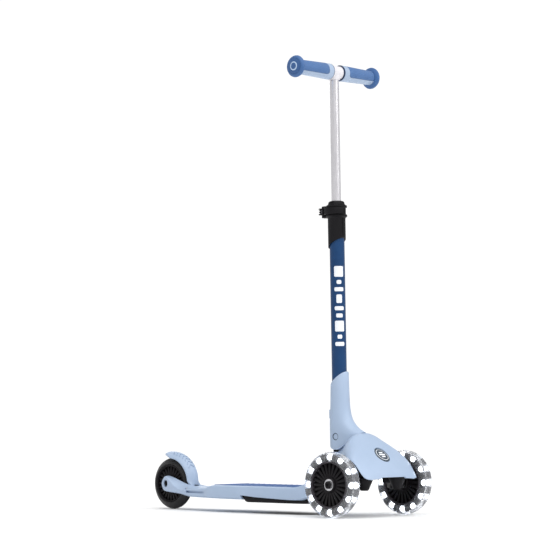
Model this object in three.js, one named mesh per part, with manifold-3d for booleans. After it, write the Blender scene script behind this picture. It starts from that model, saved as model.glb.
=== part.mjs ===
// Three-wheeled child's kick scooter, in millimetres: +X is the direction of travel, +Y its left, +Z up.
// Two steered front wheels, one rear wheel with a foot brake, a low deck, a stem that folds back over the
// deck and a handlebar that slides in the stem.
import * as THREE from 'three';
import { mergeVertices } from 'three/addons/utils/BufferGeometryUtils.js';
import Module from 'manifold-3d';

const wasm = await Module();
wasm.setup();

// ---------------------------------------------------------------- driving dimensions
const GAP = 0.3; // clearance between neighbouring pieces
const RUN = 0.6; // running clearance of turning or sliding pieces
const CUT = 200; // a length past any piece, for cutters

const wheels = {
  base: 494.5, // front axle to rear axle
  track: 212, // between the middles of the front tyres
  frontRadius: 60,
  rearRadius: 50,
  width: 24,
  tyreDepth: 17, // front tyre, tread to rim
  rearTyreDepth: 13,
  spokes: 24,
  lamps: 12,
};
const bearing = { outer: 11, bore: 4, width: 7, apart: 6 };
const axle = { radius: 3.7, headRadius: 6.9, headHeight: 3.4 };

const stem = {
  lean: 1.23, // degrees, back from upright
  pinX: -64.2, // fold pin, from the front axle
  pinZ: 145.6,
  axisX: -67.8, // stem axis at the height of the fold pin
  pinRadius: 4.5,
  headRadius: 6.5,
  tongueRadius: 15.8,
  tongueHalf: 9.2, // half its width
  seamRadius: 20, // round the pin, under the housing
  seamSlope: 30, // degrees, rising forward
};
const lowerTube = { radius: 14, wall: 1.5, top: 424 };
const housing = {
  topRadius: lowerTube.radius + 2.6,
  baseRadius: lowerTube.radius + 4.4,
  half: Math.max(stem.tongueHalf + 10.8, lowerTube.radius + 6),
  top: 106,
  slant: 39,
  tubeSeat: 62,
};
const clamp = {
  sleeveRadius: lowerTube.radius + 2.6,
  sleeveBottom: 361, // middle of its slanted lower edge
  collarBottom: 409.5,
  collarTop: 431.5,
  flangeRadius: lowerTube.radius + 6,
  grooveRadius: lowerTube.radius + 3.6,
  flange: 4.6, // thickness of each flange
  ringTop: 440,
  ringRadius: lowerTube.radius + 1.4,
  lugX: -lowerTube.radius - 19, // back edge of the two lugs
  lugHalf: 6,
  slot: 2,
  pinX: -lowerTube.radius - 11,
  pinY: -12.5,
  pinRadius: 2,
  boltRadius: 2.4,
};
const lever = { thickness: 3.8, from: -152, to: -8, knuckle: 6.2 };
const button = { z: 42, half: 6.5, height: 17, proud: 3.2, travel: 4 };
const plunger = { radius: 3.4, length: 20 };
const upperTube = { radius: 8.9, wall: 1.4, bottom: 236 };
const bar = { z: 682.6, radius: 8, wall: 1.5, half: 104.6 };
const tee = { radius: bar.radius + 4.6, half: 14.6 };
const grip = { innerRadius: bar.radius + 7.2, outerRadius: bar.radius + 5.4, padFrom: 30, padDepth: 1.7,
  padFromDeg: -32, padToDeg: 212 };
const cap = { radius: 20.5, length: 12.4 };

const rearX = -wheels.base; // rear axle
const deck = {
  rear: rearX + 130.5, // where the wide part ends
  front: -44,
  half: 56,
  top: 51,
  skin: 4.5,
  wall: 5,
  footZ: 57.7, // seat of the truck's foot
  neckTop: 69,
};
const fork = { half: wheels.width / 2 + 12, slotHalf: wheels.width / 2 + 2.5,
  slotFront: rearX + wheels.rearRadius + 11.5, boss: 15.5, headBore: 7.2, headDepth: 5.6 };
const pad = { rear: deck.rear + 16, front: -112, thickness: 2.2, inset: 7, recess: 1 };
const beam = { rear: deck.rear + 102, front: -103, half: 34, frontHalf: 24, bottom: 20 };
const screw = { radius: 2, head: 4.4, headHeight: 2.8, sink: 8 };
const nose = { wall: 3, lip: 71, wheelGap: 14.5 };
const badge = { x: 30.6, z: 112.5, radius: 17, thickness: 2, slope: 43 };
const kingpin = { x: 28, y: wheels.track / 2 - 58, radius: 4, bottom: 55, seam: 71.6, top: 92, boss: 12,
  bossBottom: 48.5 };
const knuckle = { bossTop: 16.4, bossFoot: 8.4, axleBoss: 13, innerY: wheels.track / 2 - 40, armRadius: 9 };
const tie = { x: 2, y: kingpin.y, z: 75, radius: 3, half: 3.2 };
const fender = {
  clearance: 3.5,
  half: 15,
  crown: 10,
  skirt: 4,
  tailHalf: 11,
  hingeX: rearX + wheels.rearRadius + 10,
  hingeZ: 41,
  knuckle: 6,
  pinRadius: 2.5,
};

// ---------------------------------------------------------------- finishes
const paint = (color, roughness, metalness = 0) => new THREE.MeshStandardMaterial({ color, roughness,
  metalness });
const finish = {
  shell: paint(0xa9c4e4, 0.42),
  navy: paint(0x23507f, 0.38),
  grip: paint(0x6c8fc3, 0.65),
  cap: paint(0x3f679c, 0.6),
  mat: paint(0x2d4f86, 0.8),
  black: paint(0x232126, 0.55),
  rubber: paint(0x1b1a1c, 0.75),
  rim: paint(0x39363b, 0.5),
  clear: paint(0xe8eaee, 0.15),
  lamp: paint(0x4a474c, 0.3),
  alloy: paint(0xcdcbd2, 0.32, 0.9),
  steel: paint(0xb8b8bc, 0.3, 1),
  zinc: paint(0x6b6b70, 0.4, 0.9),
};

// ---------------------------------------------------------------- solids
const rad = THREE.MathUtils.degToRad;

/** A closed geometry as a solid, its faces turned outwards. */
function solid(geometry) {
  const bare = geometry.clone();
  bare.deleteAttribute('normal');
  bare.deleteAttribute('uv');
  const merged = mergeVertices(bare, 1e-4);
  const p = merged.attributes.position;
  const tris = Uint32Array.from(merged.index.array);
  const [a, b, c] = [new THREE.Vector3(), new THREE.Vector3(), new THREE.Vector3()];
  const kept = [];
  let volume = 0;
  for (let i = 0; i < tris.length; i += 3) {
    if (tris[i] === tris[i + 1] || tris[i + 1] === tris[i + 2] || tris[i] === tris[i + 2]) continue;
    a.fromBufferAttribute(p, tris[i]);
    b.fromBufferAttribute(p, tris[i + 1]);
    c.fromBufferAttribute(p, tris[i + 2]);
    volume += a.dot(b.cross(c));
    kept.push(tris[i], tris[i + 1], tris[i + 2]);
  }
  if (volume < 0) kept.reverse();
  const mesh = new wasm.Mesh({ numProp: 3, vertProperties: p.array, triVerts: Uint32Array.from(kept) });
  return new wasm.Manifold(mesh);
}

const join = (first, ...rest) => rest.reduce((whole, piece) => whole.add(piece), first);
const cut = (first, ...rest) => rest.reduce((whole, piece) => whole.subtract(piece), first);

/** Turns a geometry made about +Y so that it lies along another axis. */
function lay(geometry, axis) {
  if (axis === 'x') geometry.rotateZ(-Math.PI / 2);
  if (axis === 'z') geometry.rotateX(Math.PI / 2);
  return geometry;
}

/** A cylinder or cone along an axis from one place to another; at is the middle of the end at from. */
function rod(axis, radius, from, to, at, endRadius = radius, sides = 24) {
  const geometry = new THREE.CylinderGeometry(endRadius, radius, to - from, sides);
  lay(geometry, axis);
  const middle = new THREE.Vector3(...at);
  middle[axis] = (from + to) / 2;
  return solid(geometry.translate(middle.x, middle.y, middle.z));
}

/** A turned piece: profile points are [radius, place along the axis]. */
function turned(axis, profile, at, sides = 32) {
  const points = profile.map(([r, along]) => new THREE.Vector2(r, along));
  return solid(lay(new THREE.LatheGeometry(points, sides), axis).translate(...at));
}

/** A plain tube along an axis. */
function tube(axis, outer, inner, from, to, at, sides = 24) {
  const profile = [[inner, from], [outer, from], [outer, to], [inner, to], [inner, from]];
  return turned(axis, profile, at, sides);
}

const box = (x0, x1, y0, y1, z0, z1) =>
  solid(new THREE.BoxGeometry(x1 - x0, y1 - y0, z1 - z0).translate((x0 + x1) / 2, (y0 + y1) / 2,
    (z0 + z1) / 2));

const outline = (points) => new THREE.Shape(points.map(([a, b]) => new THREE.Vector2(a, b)));

/** Points of a smooth curve through the given ones. */
const smooth = (points, count) =>
  new THREE.SplineCurve(points.map(([a, b]) => new THREE.Vector2(a, b))).getPoints(count).map((p) => [p.x,
    p.y]);

/** Points of an arc; degrees run from the first coordinate towards the second. */
function arc([a, b], radius, fromDeg, toDeg, steps) {
  return Array.from({ length: steps + 1 }, (_, i) => {
    const turn = rad(fromDeg + ((toDeg - fromDeg) * i) / steps);
    return [a + radius * Math.cos(turn), b + radius * Math.sin(turn)];
  });
}

const extruded = (shape, depth) => new THREE.ExtrudeGeometry(shape, { depth, bevelEnabled: false, steps: 1 });

/** An outline in X and Z, as thick as y0 to y1. */
const slabY = (points, y0, y1) =>
  solid(extruded(outline(points), y1 - y0).rotateX(Math.PI / 2).translate(0, y1, 0));

/** An outline in X and Y, as thick as z0 to z1. */
const slabZ = (points, z0, z1) => solid(extruded(outline(points), z1 - z0).translate(0, 0, z0));

/** Both halves of an outline given by [x, half width] points, from back to front. */
const mirrored = (points) => [...points, ...points.map(([x, y]) => [x, -y]).reverse()];

/** A round wire wound about an axis, as a compression or torsion spring. */
function coil(axis, radius, wire, from, to, turns, at) {
  const steps = turns * 8;
  const points = Array.from({ length: steps + 1 }, (_, i) => {
    const turn = (i / steps) * turns * 2 * Math.PI;
    const along = from + ((to - from) * i) / steps;
    return new THREE.Vector3(radius * Math.cos(turn), along, radius * Math.sin(turn));
  });
  const section = outline(arc([0, 0], wire, 0, 270, 3));
  const path = new THREE.CatmullRomCurve3(points);
  const geometry = new THREE.ExtrudeGeometry(section, { steps, bevelEnabled: false, extrudePath: path });
  return solid(lay(geometry, axis).translate(...at));
}

/** A curved shell: outer(u, v) is a place on its face, and the wall goes inwards along the normal. */
function shell(outer, wall, nu, nv) {
  const geometry = new THREE.BoxGeometry(1, 1, 1, nu, nv, 1);
  const p = geometry.attributes.position;
  const step = 1e-3;
  for (let i = 0; i < p.count; i++) {
    const u = p.getX(i) + 0.5;
    const v = p.getY(i) * 2;
    const [u0, u1] = [Math.max(0, u - step), Math.min(1, u + step)];
    const [v0, v1] = [Math.max(-1, v - step), Math.min(1, v + step)];
    const along = outer(u1, v).sub(outer(u0, v));
    const across = outer(u, v1).sub(outer(u, v0));
    const normal = along.cross(across).normalize();
    const place = outer(u, v);
    if (p.getZ(i) < 0) place.addScaledVector(normal, -wall);
    p.setXYZ(i, place.x, place.y, place.z);
  }
  return solid(geometry);
}

/** A value read off a list of [x, value] points by straight lines between them. */
function table(points, x) {
  const next = points.findIndex(([at]) => at >= x);
  if (next <= 0) return next === 0 ? points[0][1] : points[points.length - 1][1];
  const [[x0, v0], [x1, v1]] = [points[next - 1], points[next]];
  return v0 + ((v1 - v0) * (x - x0)) / (x1 - x0);
}

// ---------------------------------------------------------------- the assembly
const scooter = new THREE.Group();
scooter.position.x = (wheels.base + wheels.rearRadius - wheels.frontRadius) / 2;
const column = new THREE.Group(); // the stem's own frame: origin on its axis level with the fold pin
column.position.set(stem.axisX, 0, stem.pinZ);
column.rotation.y = -rad(stem.lean);
scooter.add(column);

function add(group, name, piece, material) {
  const { vertProperties, triVerts } = piece.getMesh();
  const geometry = new THREE.BufferGeometry();
  geometry.setAttribute('position', new THREE.BufferAttribute(Float32Array.from(vertProperties), 3));
  geometry.setIndex(new THREE.BufferAttribute(Uint32Array.from(triVerts), 1));
  geometry.computeVertexNormals();
  const mesh = new THREE.Mesh(geometry, material);
  mesh.name = name;
  group.add(mesh);
}

const sides = [['right', -1], ['left', 1]];
const mirror = (piece, side) => (side < 0 ? piece.mirror([0, 1, 0]) : piece);

// ---------------------------------------------------------------- wheels
const hubFace = wheels.width / 2;
const bearingFrom = bearing.apart / 2;
const bearingTo = bearingFrom + bearing.width;

/** Tyre with a channel for the light ring, on a rim of the given radius. */
function tyre(radius, depth, at, channel) {
  const w = wheels.width / 2;
  const rim = radius - depth + GAP;
  const shoulder = channel
    ? [[radius - 0.5 * depth, w], [radius - 2.4, w - 3]]
    : [[radius - 10, w - 1.5], [radius - 5, w - 5], [radius - 1.2, w - 9]];
  const half = [[rim, 0], [rim, w - 1], ...shoulder];
  const crown = [[radius, 0]];
  const profile = [...half.slice(1), ...crown, ...half.slice(1).reverse().map(([r, y]) => [r, -y])];
  const body = turned('y', [...profile, profile[0]], at, 32);
  return channel ? cut(body, rod('y', channel, -8, 8, at, channel, 32).translate(0, at[1], 0)) : body;
}

/** Spoked core: a disc with radial slots, a rim and a hub bored for two bearings. */
function core(rim, at) {
  const disc = outline(arc([0, 0], rim - 1.6, 0, 348, 29));
  const pitch = 360 / wheels.spokes;
  for (let i = 0; i < wheels.spokes; i++) {
    const turn = i * pitch;
    const slot = [...arc([0, 0], 16, turn, turn, 1).slice(1), ...arc([0, 0], rim - 5, turn + 4.2,
      turn - 4.2, 1)];
    disc.holes.push(new THREE.Path(slot.map(([a, b]) => new THREE.Vector2(a, b))));
  }
  const web = hubFace - 4;
  const spoked = solid(extruded(disc, 2 * web).rotateX(Math.PI / 2).translate(0, web, 0));
  const rimRing = tube('y', rim, rim - 3.5, -hubFace + 1, hubFace - 1, [0, 0, 0], 28);
  const hub = rod('y', 14, -hubFace, hubFace, [0, 0, 0], 14, 18);
  const seat = bearing.outer + GAP;
  const bored = cut(
    join(spoked, rimRing, hub),
    rod('y', bearing.bore + 4, -CUT, CUT, [0, 0, 0], undefined, 16),
    rod('y', seat, bearingFrom - GAP, CUT, [0, 0, 0], seat, 16),
    rod('y', seat, -CUT, -bearingFrom + GAP, [0, 0, 0], seat, 16),
  );
  return bored.translate(...at);
}

/** Toothed ring of lamps, cast inside the clear tyre. */
function lightRing(rim, at) {
  const root = rim + 3;
  const pitch = 360 / wheels.lamps;
  const teeth = [];
  for (let i = 0; i < wheels.lamps; i++) {
    const turn = i * pitch;
    teeth.push(...arc([0, 0], root, turn - 9, turn + 9, 2), ...arc([0, 0], root + 4, turn + 10, turn + 20,
      1));
  }
  const ring = outline(teeth);
  ring.holes.push(new THREE.Path(arc([0, 0], rim + 2 * GAP, 0, 345, 23).map(([a,
    b]) => new THREE.Vector2(a, b))));
  return solid(extruded(ring, 14).rotateX(Math.PI / 2).translate(0, 7, 0)).translate(...at);
}

function wheel(name, at, radius, depth, lit) {
  const rim = radius - depth;
  add(scooter, `${name}_tyre`, tyre(radius, depth, at, lit ? rim + 7 + GAP : 0), lit
    ? finish.clear : finish.rubber);
  add(scooter, `${name}_core`, core(rim, at), finish.rim);
  if (lit) add(scooter, `${name}_light_ring`, lightRing(rim, at), finish.lamp);
  for (const [side, sign] of sides) {
    const ends = [bearingFrom * sign, bearingTo * sign].sort((a, b) => a - b);
    const race = tube('y', bearing.outer, bearing.bore, ...ends, at, 16);
    add(scooter, `${name}_bearing_${side}`, race, finish.steel);
  }
}

const frontY = wheels.track / 2;
const frontAt = (sign) => [0, sign * frontY, wheels.frontRadius];
const rearAt = [-wheels.base, 0, wheels.rearRadius];
for (const [side, sign] of sides) wheel(`wheel_${side}`, frontAt(sign), wheels.frontRadius,
  wheels.tyreDepth, true);
wheel('wheel_rear', rearAt, wheels.rearRadius, wheels.rearTyreDepth, false);

// ---------------------------------------------------------------- steering
const headFrom = frontY + bearingTo + GAP;
for (const [side, sign] of sides) {
  const up = wheels.frontRadius;
  const boss = rod('z', knuckle.bossFoot, kingpin.bossBottom, kingpin.seam - GAP, [kingpin.x, kingpin.y,
    0], knuckle.bossTop);
  const axleBoss = rod('y', knuckle.axleBoss, knuckle.innerY, frontY - hubFace - RUN, [0, 0, up], 9);
  const arm = slabZ(
    [[kingpin.x + 2, kingpin.y + 14], [9, frontY - 20], [-9, frontY - 20], [-10, knuckle.innerY],
      [kingpin.x - 14, kingpin.y - 2]],
    up - knuckle.armRadius,
    kingpin.seam - GAP,
  );
  const steerArm = slabZ(
    [[kingpin.x, kingpin.y + 9], [tie.x - 5, tie.y + 5], [tie.x - 5, tie.y - 5], [kingpin.x, kingpin.y - 9]],
    60,
    kingpin.seam - GAP,
  );
  const tiePin = rod('z', tie.radius, kingpin.seam - 5, tie.z + tie.half + 1, [tie.x, tie.y, 0],
    tie.radius, 16);
  const body = cut(
    join(boss, axleBoss, arm, steerArm, tiePin),
    rod('z', kingpin.radius + RUN / 2, kingpin.bottom - 1, CUT, [kingpin.x, kingpin.y, 0]),
    rod('y', axle.radius + GAP, 0, CUT, [0, 0, up]),
  );
  add(scooter, `knuckle_${side}`, mirror(body, sign), finish.black);

  const bolt = join(
    rod('y', axle.radius, knuckle.innerY + 2, headFrom + 1, [0, 0, up], axle.radius, 20),
    rod('y', axle.headRadius, headFrom, headFrom + axle.headHeight, [0, 0, up], axle.headRadius - 0.8, 20),
  );
  add(scooter, `axle_bolt_${side}`, mirror(bolt, sign), finish.black);

  const pin = join(
    rod('z', kingpin.radius, kingpin.bottom, kingpin.top + 2, [kingpin.x, kingpin.y, 0], kingpin.radius, 20),
    rod('z', 7.5, kingpin.top + GAP, kingpin.top + 4, [kingpin.x, kingpin.y, 0], 6.5, 6),
  );
  add(scooter, `kingpin_${side}`, mirror(pin, sign), finish.zinc);
}
const tieEnd = (y) => rod('z', 6.5, tie.z - tie.half, tie.z + tie.half, [tie.x, y, 0], 6.5, 20);
const tieHole = (y, spare) => rod('z', tie.radius + spare, -CUT, CUT, [tie.x, y, 0], tie.radius + spare, 16);
add(
  scooter,
  'tie_rod',
  cut(
    join(box(tie.x - 4, tie.x + 4, -tie.y, tie.y, tie.z - tie.half, tie.z + tie.half), tieEnd(-tie.y),
      tieEnd(tie.y)),
    tieHole(-tie.y, RUN / 2),
    tieHole(tie.y, RUN),
  ),
  finish.black,
);

// ---------------------------------------------------------------- front truck with the fold tongue
const pinAt = [stem.pinX, 0, stem.pinZ];
const truckBottom = deck.footZ + GAP;
const crossRear = kingpin.x - kingpin.boss;
const spineFloor = tie.z + tie.half + 1.2;
const tongue = join(
  rod('y', stem.tongueRadius, -stem.tongueHalf, stem.tongueHalf, pinAt, stem.tongueRadius, 32),
  box(stem.pinX - 13, stem.pinX + 13, -stem.tongueHalf, stem.tongueHalf, 80, stem.pinZ),
);
const spine = slabY(
  [[-96, truckBottom], [-44, truckBottom], [-32, spineFloor], [crossRear + 6, spineFloor], [crossRear + 6,
    91], [-30, 92], [-52, 104],
    [-78, 104], [-96, 80]],
  -13,
  13,
);
const crossBar = slabZ(
  mirrored([[crossRear, kingpin.y - 2], [kingpin.x - 4, kingpin.y + 8], [kingpin.x + 10, kingpin.y + 4],
    [kingpin.x + 10, 0]])
    .filter(([x, y], i, all) => i === 0 || x !== all[i - 1][0] || y !== all[i - 1][1]),
  79,
  kingpin.top - 1,
);
const kingBoss = (y) => rod('z', kingpin.boss, kingpin.seam + GAP, kingpin.top, [kingpin.x, y, 0]);
const kingBore = (y) => rod('z', kingpin.radius + GAP, -CUT, CUT, [kingpin.x, y, 0], kingpin.radius + GAP,
  20);
add(
  scooter,
  'front_truck',
  cut(
    join(tongue, spine, crossBar, kingBoss(-kingpin.y), kingBoss(kingpin.y)),
    kingBore(-kingpin.y),
    kingBore(kingpin.y),
    rod('y', stem.pinRadius + GAP, -CUT, CUT, pinAt),
  ),
  finish.black,
);

// ---------------------------------------------------------------- nose cover
const ridge = [[-92, 116], [-72, 119], [-58, 127], [-34, 146], [-12.7, 152.6], [0, 144.5], [18, 128],
  [30.6, 113], [46, 98],
  [56, 84], [59.4, nose.lip]];
const wing = wheels.track / 2 - wheels.width / 2 - nose.wheelGap; // half width over the wheels' inner faces
const spread = [[-92, 23], [-60, 25], [-44, 32], [-30, wing - 33.5], [-14, wing - 17.5], [4, wing - 6.5],
  [20, wing],
  [34, wing], [46, wing - 3], [54, wing - 6.5], [59.4, wing - 11.5]];
const hem = [[-92, deck.neckTop + GAP], [-56, deck.neckTop + GAP], [-42, 76], [-26, 92], [-8, 103], [10,
  106.5], [26, 105],
  [36, 99], [46, 86], [56, 74], [59.4, nose.lip]];
const stations = [-92, -72, -58, -46, -34, -24, -13, 0, 12, 22, 32, 42, 50, 56, 59.4];

/** Place on the nose cover's face: u runs from its back to its front lip, v from right to left. */
function noseFace(u, v) {
  const at = u * (stations.length - 1);
  const low = Math.min(stations.length - 2, Math.floor(at));
  const x = stations[low] + (at - low) * (stations[low + 1] - stations[low]);
  const t = Math.sin((v * Math.PI) / 2);
  const fall = (1 - Math.abs(t) ** 2.4) ** 0.62;
  const edge = table(hem, x);
  const bow = 5 * (1 - t * t) * table([[30, 0], [59.4, 1]], x); // the front is bowed in plan
  return new THREE.Vector3(Math.min(x, 59.4) - 5 * table([[30, 0], [59.4, 1]], x) + bow,
    t * table(spread, x), edge + (table(ridge, x) - edge) * fall);
}

const slope = rad(stem.seamSlope);
const seamFoot = { x: stem.pinX + stem.seamRadius * Math.sin(slope),
  z: stem.pinZ - stem.seamRadius * Math.cos(slope) };
// height of the straight part of the seam
const seamZ = (x) => seamFoot.z + (x - seamFoot.x) * Math.tan(slope);

/** Everything above the seam between housing and nose, grown outwards by a gap. */
function aboveSeam(grown) {
  const r = stem.seamRadius + grown;
  const touch = -90 + stem.seamSlope;
  const [fx, fz] = [stem.pinX + r * Math.sin(slope), stem.pinZ - r * Math.cos(slope)];
  const run = 120;
  const line = [[fx + run * Math.cos(slope), fz + run * Math.sin(slope)], [fx + run, stem.pinZ + CUT],
    [stem.pinX - CUT,
    stem.pinZ + CUT], [stem.pinX - CUT, stem.pinZ - grown]];
  return slabY([...line, ...arc([stem.pinX, stem.pinZ], r, -180, touch, 10)], -CUT, CUT);
}

const noseShell = shell(noseFace, nose.wall, stations.length - 1, 12);
const tongueMouth = box(stem.pinX - 15, stem.pinX + 17, -stem.tongueHalf - 1, stem.tongueHalf + 1, 98, CUT);
const slopeTurn = (90 - badge.slope) * (Math.PI / 180);

/** A disc lying on the nose's slope; from and to are heights above the badge's seat. */
function onSlope(radius, from, to, sidesCount = 28) {
  const geometry = lay(new THREE.CylinderGeometry(radius, radius, to - from, sidesCount), 'z');
  geometry.translate(0, 0, (from + to) / 2).rotateY(Math.PI / 2 - slopeTurn).translate(badge.x, 0, badge.z);
  return solid(geometry);
}

const noseWithSeat = join(noseShell, onSlope(badge.radius + 1.2, -4.5, 0.2));
add(
  scooter,
  'nose_cover',
  cut(noseWithSeat, aboveSeam(GAP), tongueMouth, onSlope(badge.radius + GAP, -1.4, 6)),
  finish.shell,
);
add(scooter, 'nose_badge', onSlope(badge.radius, -1.4 + GAP, -1.4 + GAP + badge.thickness), finish.rubber);

// ---------------------------------------------------------------- deck and rear fork
const plan = mirrored([[rearX - 16, fork.half - 6], [rearX, fork.half], [deck.rear - 91, fork.half + 3.5],
  [deck.rear - 70, fork.half + 8],
  [deck.rear - 41, deck.half - 15], [deck.rear, deck.half - 6], [deck.rear + 26, deck.half - 1.5],
  [deck.rear + 64, deck.half + 1], [-180, deck.half], [-128, deck.half - 3], [-104, 42], [-84, 31],
    [deck.front, 27]]);
const sideView = [
  ...arc([rearX, wheels.rearRadius], fork.boss, 75, 260, 12),
  [deck.rear - 90, 31], [deck.rear - 57, 26], [deck.rear + 34, 25.4], [-128, 24.6], [-104, 31], [-78, 46],
    [deck.front, 52],
  [deck.front, deck.neckTop], [-97, deck.neckTop], [-106, 57], [-122, deck.top], [deck.rear + 24,
    deck.top], [deck.rear, 46.5],
  [deck.rear - 36, 45], [deck.rear - 73, 49.4],
];
const pocket = mirrored([[deck.rear + 12, 38], [deck.rear + 34, 47], [deck.rear + 64,
  deck.half - deck.wall], [-180, deck.half - deck.wall],
  [-132, 46], [-112, 38], [-98, 29]]);
const padPlan = (inset, spare) =>
  mirrored([[pad.rear - spare, 30 + spare], [pad.rear + 8 - spare, deck.half - inset - 4 + spare],
    [deck.rear + 64, deck.half - inset + spare], [-180, deck.half - inset + spare], [-132, 43 + spare],
    [pad.front + spare, 30 + spare]]);
const screwXs = [0.17, 0.5, 0.83].map((share) => beam.rear + share * (beam.front - beam.rear));
const wheelSlot = box(rearX - CUT, fork.slotFront, -fork.slotHalf, fork.slotHalf, 0, CUT);
const hingeSlot = box(fork.slotFront - 1, fender.hingeX + 12, -fork.slotHalf, fork.slotHalf,
  fender.hingeZ - 9, CUT);
const footRecess = box(-96 - GAP, 0, -13 - GAP, 13 + GAP, deck.footZ, CUT);
const groove = (sign) => {
  const y = sign * 46;
  return box(deck.rear - 68, deck.rear - 6, Math.min(y, y - sign * -24), Math.max(y, y - sign * -24), 35, 38);
};
const padSeat = deck.top - pad.recess;
const deckSkin = padSeat - deck.skin; // underside of the deck's top
const screwTop = deckSkin + 2.6;
const screwBore = (x) => rod('z', screw.radius + GAP, 0, screwTop + GAP, [x, 0, 0], undefined, 10);
const pinBore = rod('y', fender.pinRadius + GAP, -CUT, CUT, [fender.hingeX, 0, fender.hingeZ], undefined, 16);
const deckSolid = slabY(sideView, -CUT, CUT).intersect(slabZ(plan, 0, CUT));
add(
  scooter,
  'deck_shell',
  cut(
    deckSolid,
    wheelSlot,
    hingeSlot,
    footRecess,
    groove(1),
    groove(-1),
    slabZ(pocket, -CUT, deckSkin),
    ...screwXs.map(screwBore),
    slabZ(padPlan(pad.inset, GAP), padSeat, CUT),
    rod('y', axle.radius + GAP, -CUT, CUT, rearAt),
    rod('y', fork.headBore, fork.half - fork.headDepth, CUT, rearAt),
    rod('y', fork.headBore, -CUT, -fork.half + fork.headDepth, rearAt),
    pinBore,
  ),
  finish.shell,
);
add(scooter, 'deck_grip_pad', slabZ(padPlan(pad.inset, 0), padSeat + GAP, padSeat + GAP + pad.thickness),
  finish.mat);

const beamTop = deckSkin - GAP;
const beamSide = [[beam.rear, 31], [beam.rear + 12, beam.bottom], [beam.front, beam.bottom], [beam.front,
  beamTop],
  [beam.rear, beamTop]];
const beamPlan = mirrored([[beam.rear, beam.half], [beam.front - 22, beam.half], [beam.front,
  beam.frontHalf]]);
const screwSeat = beam.bottom + screw.sink;
const screwSink = (x) => rod('z', screw.head + 0.6, -CUT, screwSeat, [x, 0, 0], undefined, 12);
const beamCell = (y0, y1) => box(beam.rear + 12, beam.front - 26, y0, y1, beam.bottom + 4, CUT);
add(
  scooter,
  'underside_beam',
  cut(
    slabY(beamSide, -beam.half, beam.half).intersect(slabZ(beamPlan, 0, CUT)),
    beamCell(-beam.half + 6, -8),
    beamCell(8, beam.half - 6),
    ...screwXs.map(screwBore),
    ...screwXs.map(screwSink),
  ),
  finish.black,
);
screwXs.forEach((x, i) => {
  const head = rod('z', screw.head, screwSeat - GAP - screw.headHeight, screwSeat - GAP, [x, 0, 0],
    undefined, 12);
  const shank = rod('z', screw.radius, screwSeat - 1, screwTop, [x, 0, 0], undefined, 10);
  add(scooter, `beam_screw_${i + 1}`, join(head, shank), finish.zinc);
});

// ---------------------------------------------------------------- rear axle and foot brake
const rearHead = fork.half - fork.headDepth + GAP;
add(
  scooter,
  'rear_axle_bolt',
  join(
    rod('y', axle.radius, -rearHead, rearHead + 4, rearAt, axle.radius, 20),
    rod('y', 5.8, -fork.half + 0.8, -rearHead, rearAt, 6.6, 20),
  ),
  finish.black,
);
add(
  scooter,
  'rear_axle_nut',
  cut(rod('y', 6.8, rearHead, rearHead + 5, rearAt, 6.8, 6), rod('y', axle.radius + GAP, -CUT, CUT, rearAt,
    undefined, 20)),
  finish.zinc,
);

const hingeAt = [fender.hingeX, 0, fender.hingeZ];
const fenderInner = wheels.rearRadius + fender.clearance;
const arch = arc([rearX, wheels.rearRadius], fenderInner - fender.skirt, 84, 2, 10);
const fenderTop = wheels.rearRadius + fenderInner;
const fenderBack = [[9, 9.2], [22, 10], [36, 10], [54, 9.7], [76, 9], [91, 8.8]] // degrees, thickness
  .flatMap(([degrees, thickness]) => arc([rearX, wheels.rearRadius], fenderInner + thickness, degrees,
    degrees, 1).slice(1));
const evenProfile = (half) => [...half.map(([r, y]) => [r, -y]), ...half.slice(0, -1).reverse()];
const fenderSkin = (half) => turned('y', evenProfile(half), rearAt, 64);
const fenderCrown = fenderInner + fender.crown;
const fenderOuter = fenderSkin([[0, fender.half], [fenderCrown - 11, fender.half], [fenderCrown - 8,
  fender.half * 0.87],
  [fenderCrown - 4, fender.half * 0.6], [fenderCrown - 0.9, fender.half / 3], [fenderCrown, 0]]);
const fenderRoom = fenderSkin([[0, fender.half * 0.85], [fenderInner - fender.skirt, fender.half * 0.85],
  [fenderInner - 2, fender.half * 0.63], [fenderInner - 0.3, fender.half / 3], [fenderInner, 0]]);
const fenderSide = [
  [rearX - 13, fenderTop + 4.7], [rearX - 6, fenderTop + 0.9],
  ...arch,
  [rearX + fenderInner - 0.4, 44], [fender.hingeX - 3.6, fender.hingeZ - 4.6], [fender.hingeX + 4.8,
    fender.hingeZ - 3.4],
  ...smooth([[fender.hingeX + 6, fender.hingeZ + 5], ...fenderBack, [rearX - 13, fenderTop + 9.1]], 10),
];
add(
  scooter,
  'fender_brake',
  cut(
    join(
      cut(
        slabY(fenderSide, -fender.half, fender.half)
          .intersect(join(box(-CUT * 3, 0, -fender.half, fender.half, deck.top + 3, CUT),
            box(-CUT * 3, 0, -fork.slotHalf + RUN, fork.slotHalf - RUN, 0, CUT)))
          .intersect(join(fenderOuter, box(-CUT * 3, rearX, -fender.tailHalf, fender.tailHalf,
            fenderTop - 4, CUT),
            box(rearX, 0, -fender.half, fender.half, 0, deck.top + 3))),
        fenderRoom,
      ),
      rod('y', fender.knuckle, -fork.slotHalf + RUN, fork.slotHalf - RUN, hingeAt, fender.knuckle, 20),
    ),
    rod('y', fender.pinRadius + GAP, -CUT, CUT, hingeAt, undefined, 16),
    box(fender.hingeX - 8, fender.hingeX + 8, -6, 6, fender.hingeZ - 8, fender.hingeZ + 7.4),
  ),
  finish.shell,
);
add(
  scooter,
  'brake_hinge_pin',
  rod('y', fender.pinRadius, -27, 27, hingeAt, fender.pinRadius, 16),
  finish.steel,
);
add(scooter, 'brake_spring', coil('y', 4.3, 0.8, -4.6, 4.6, 4, hingeAt), finish.steel);

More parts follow.
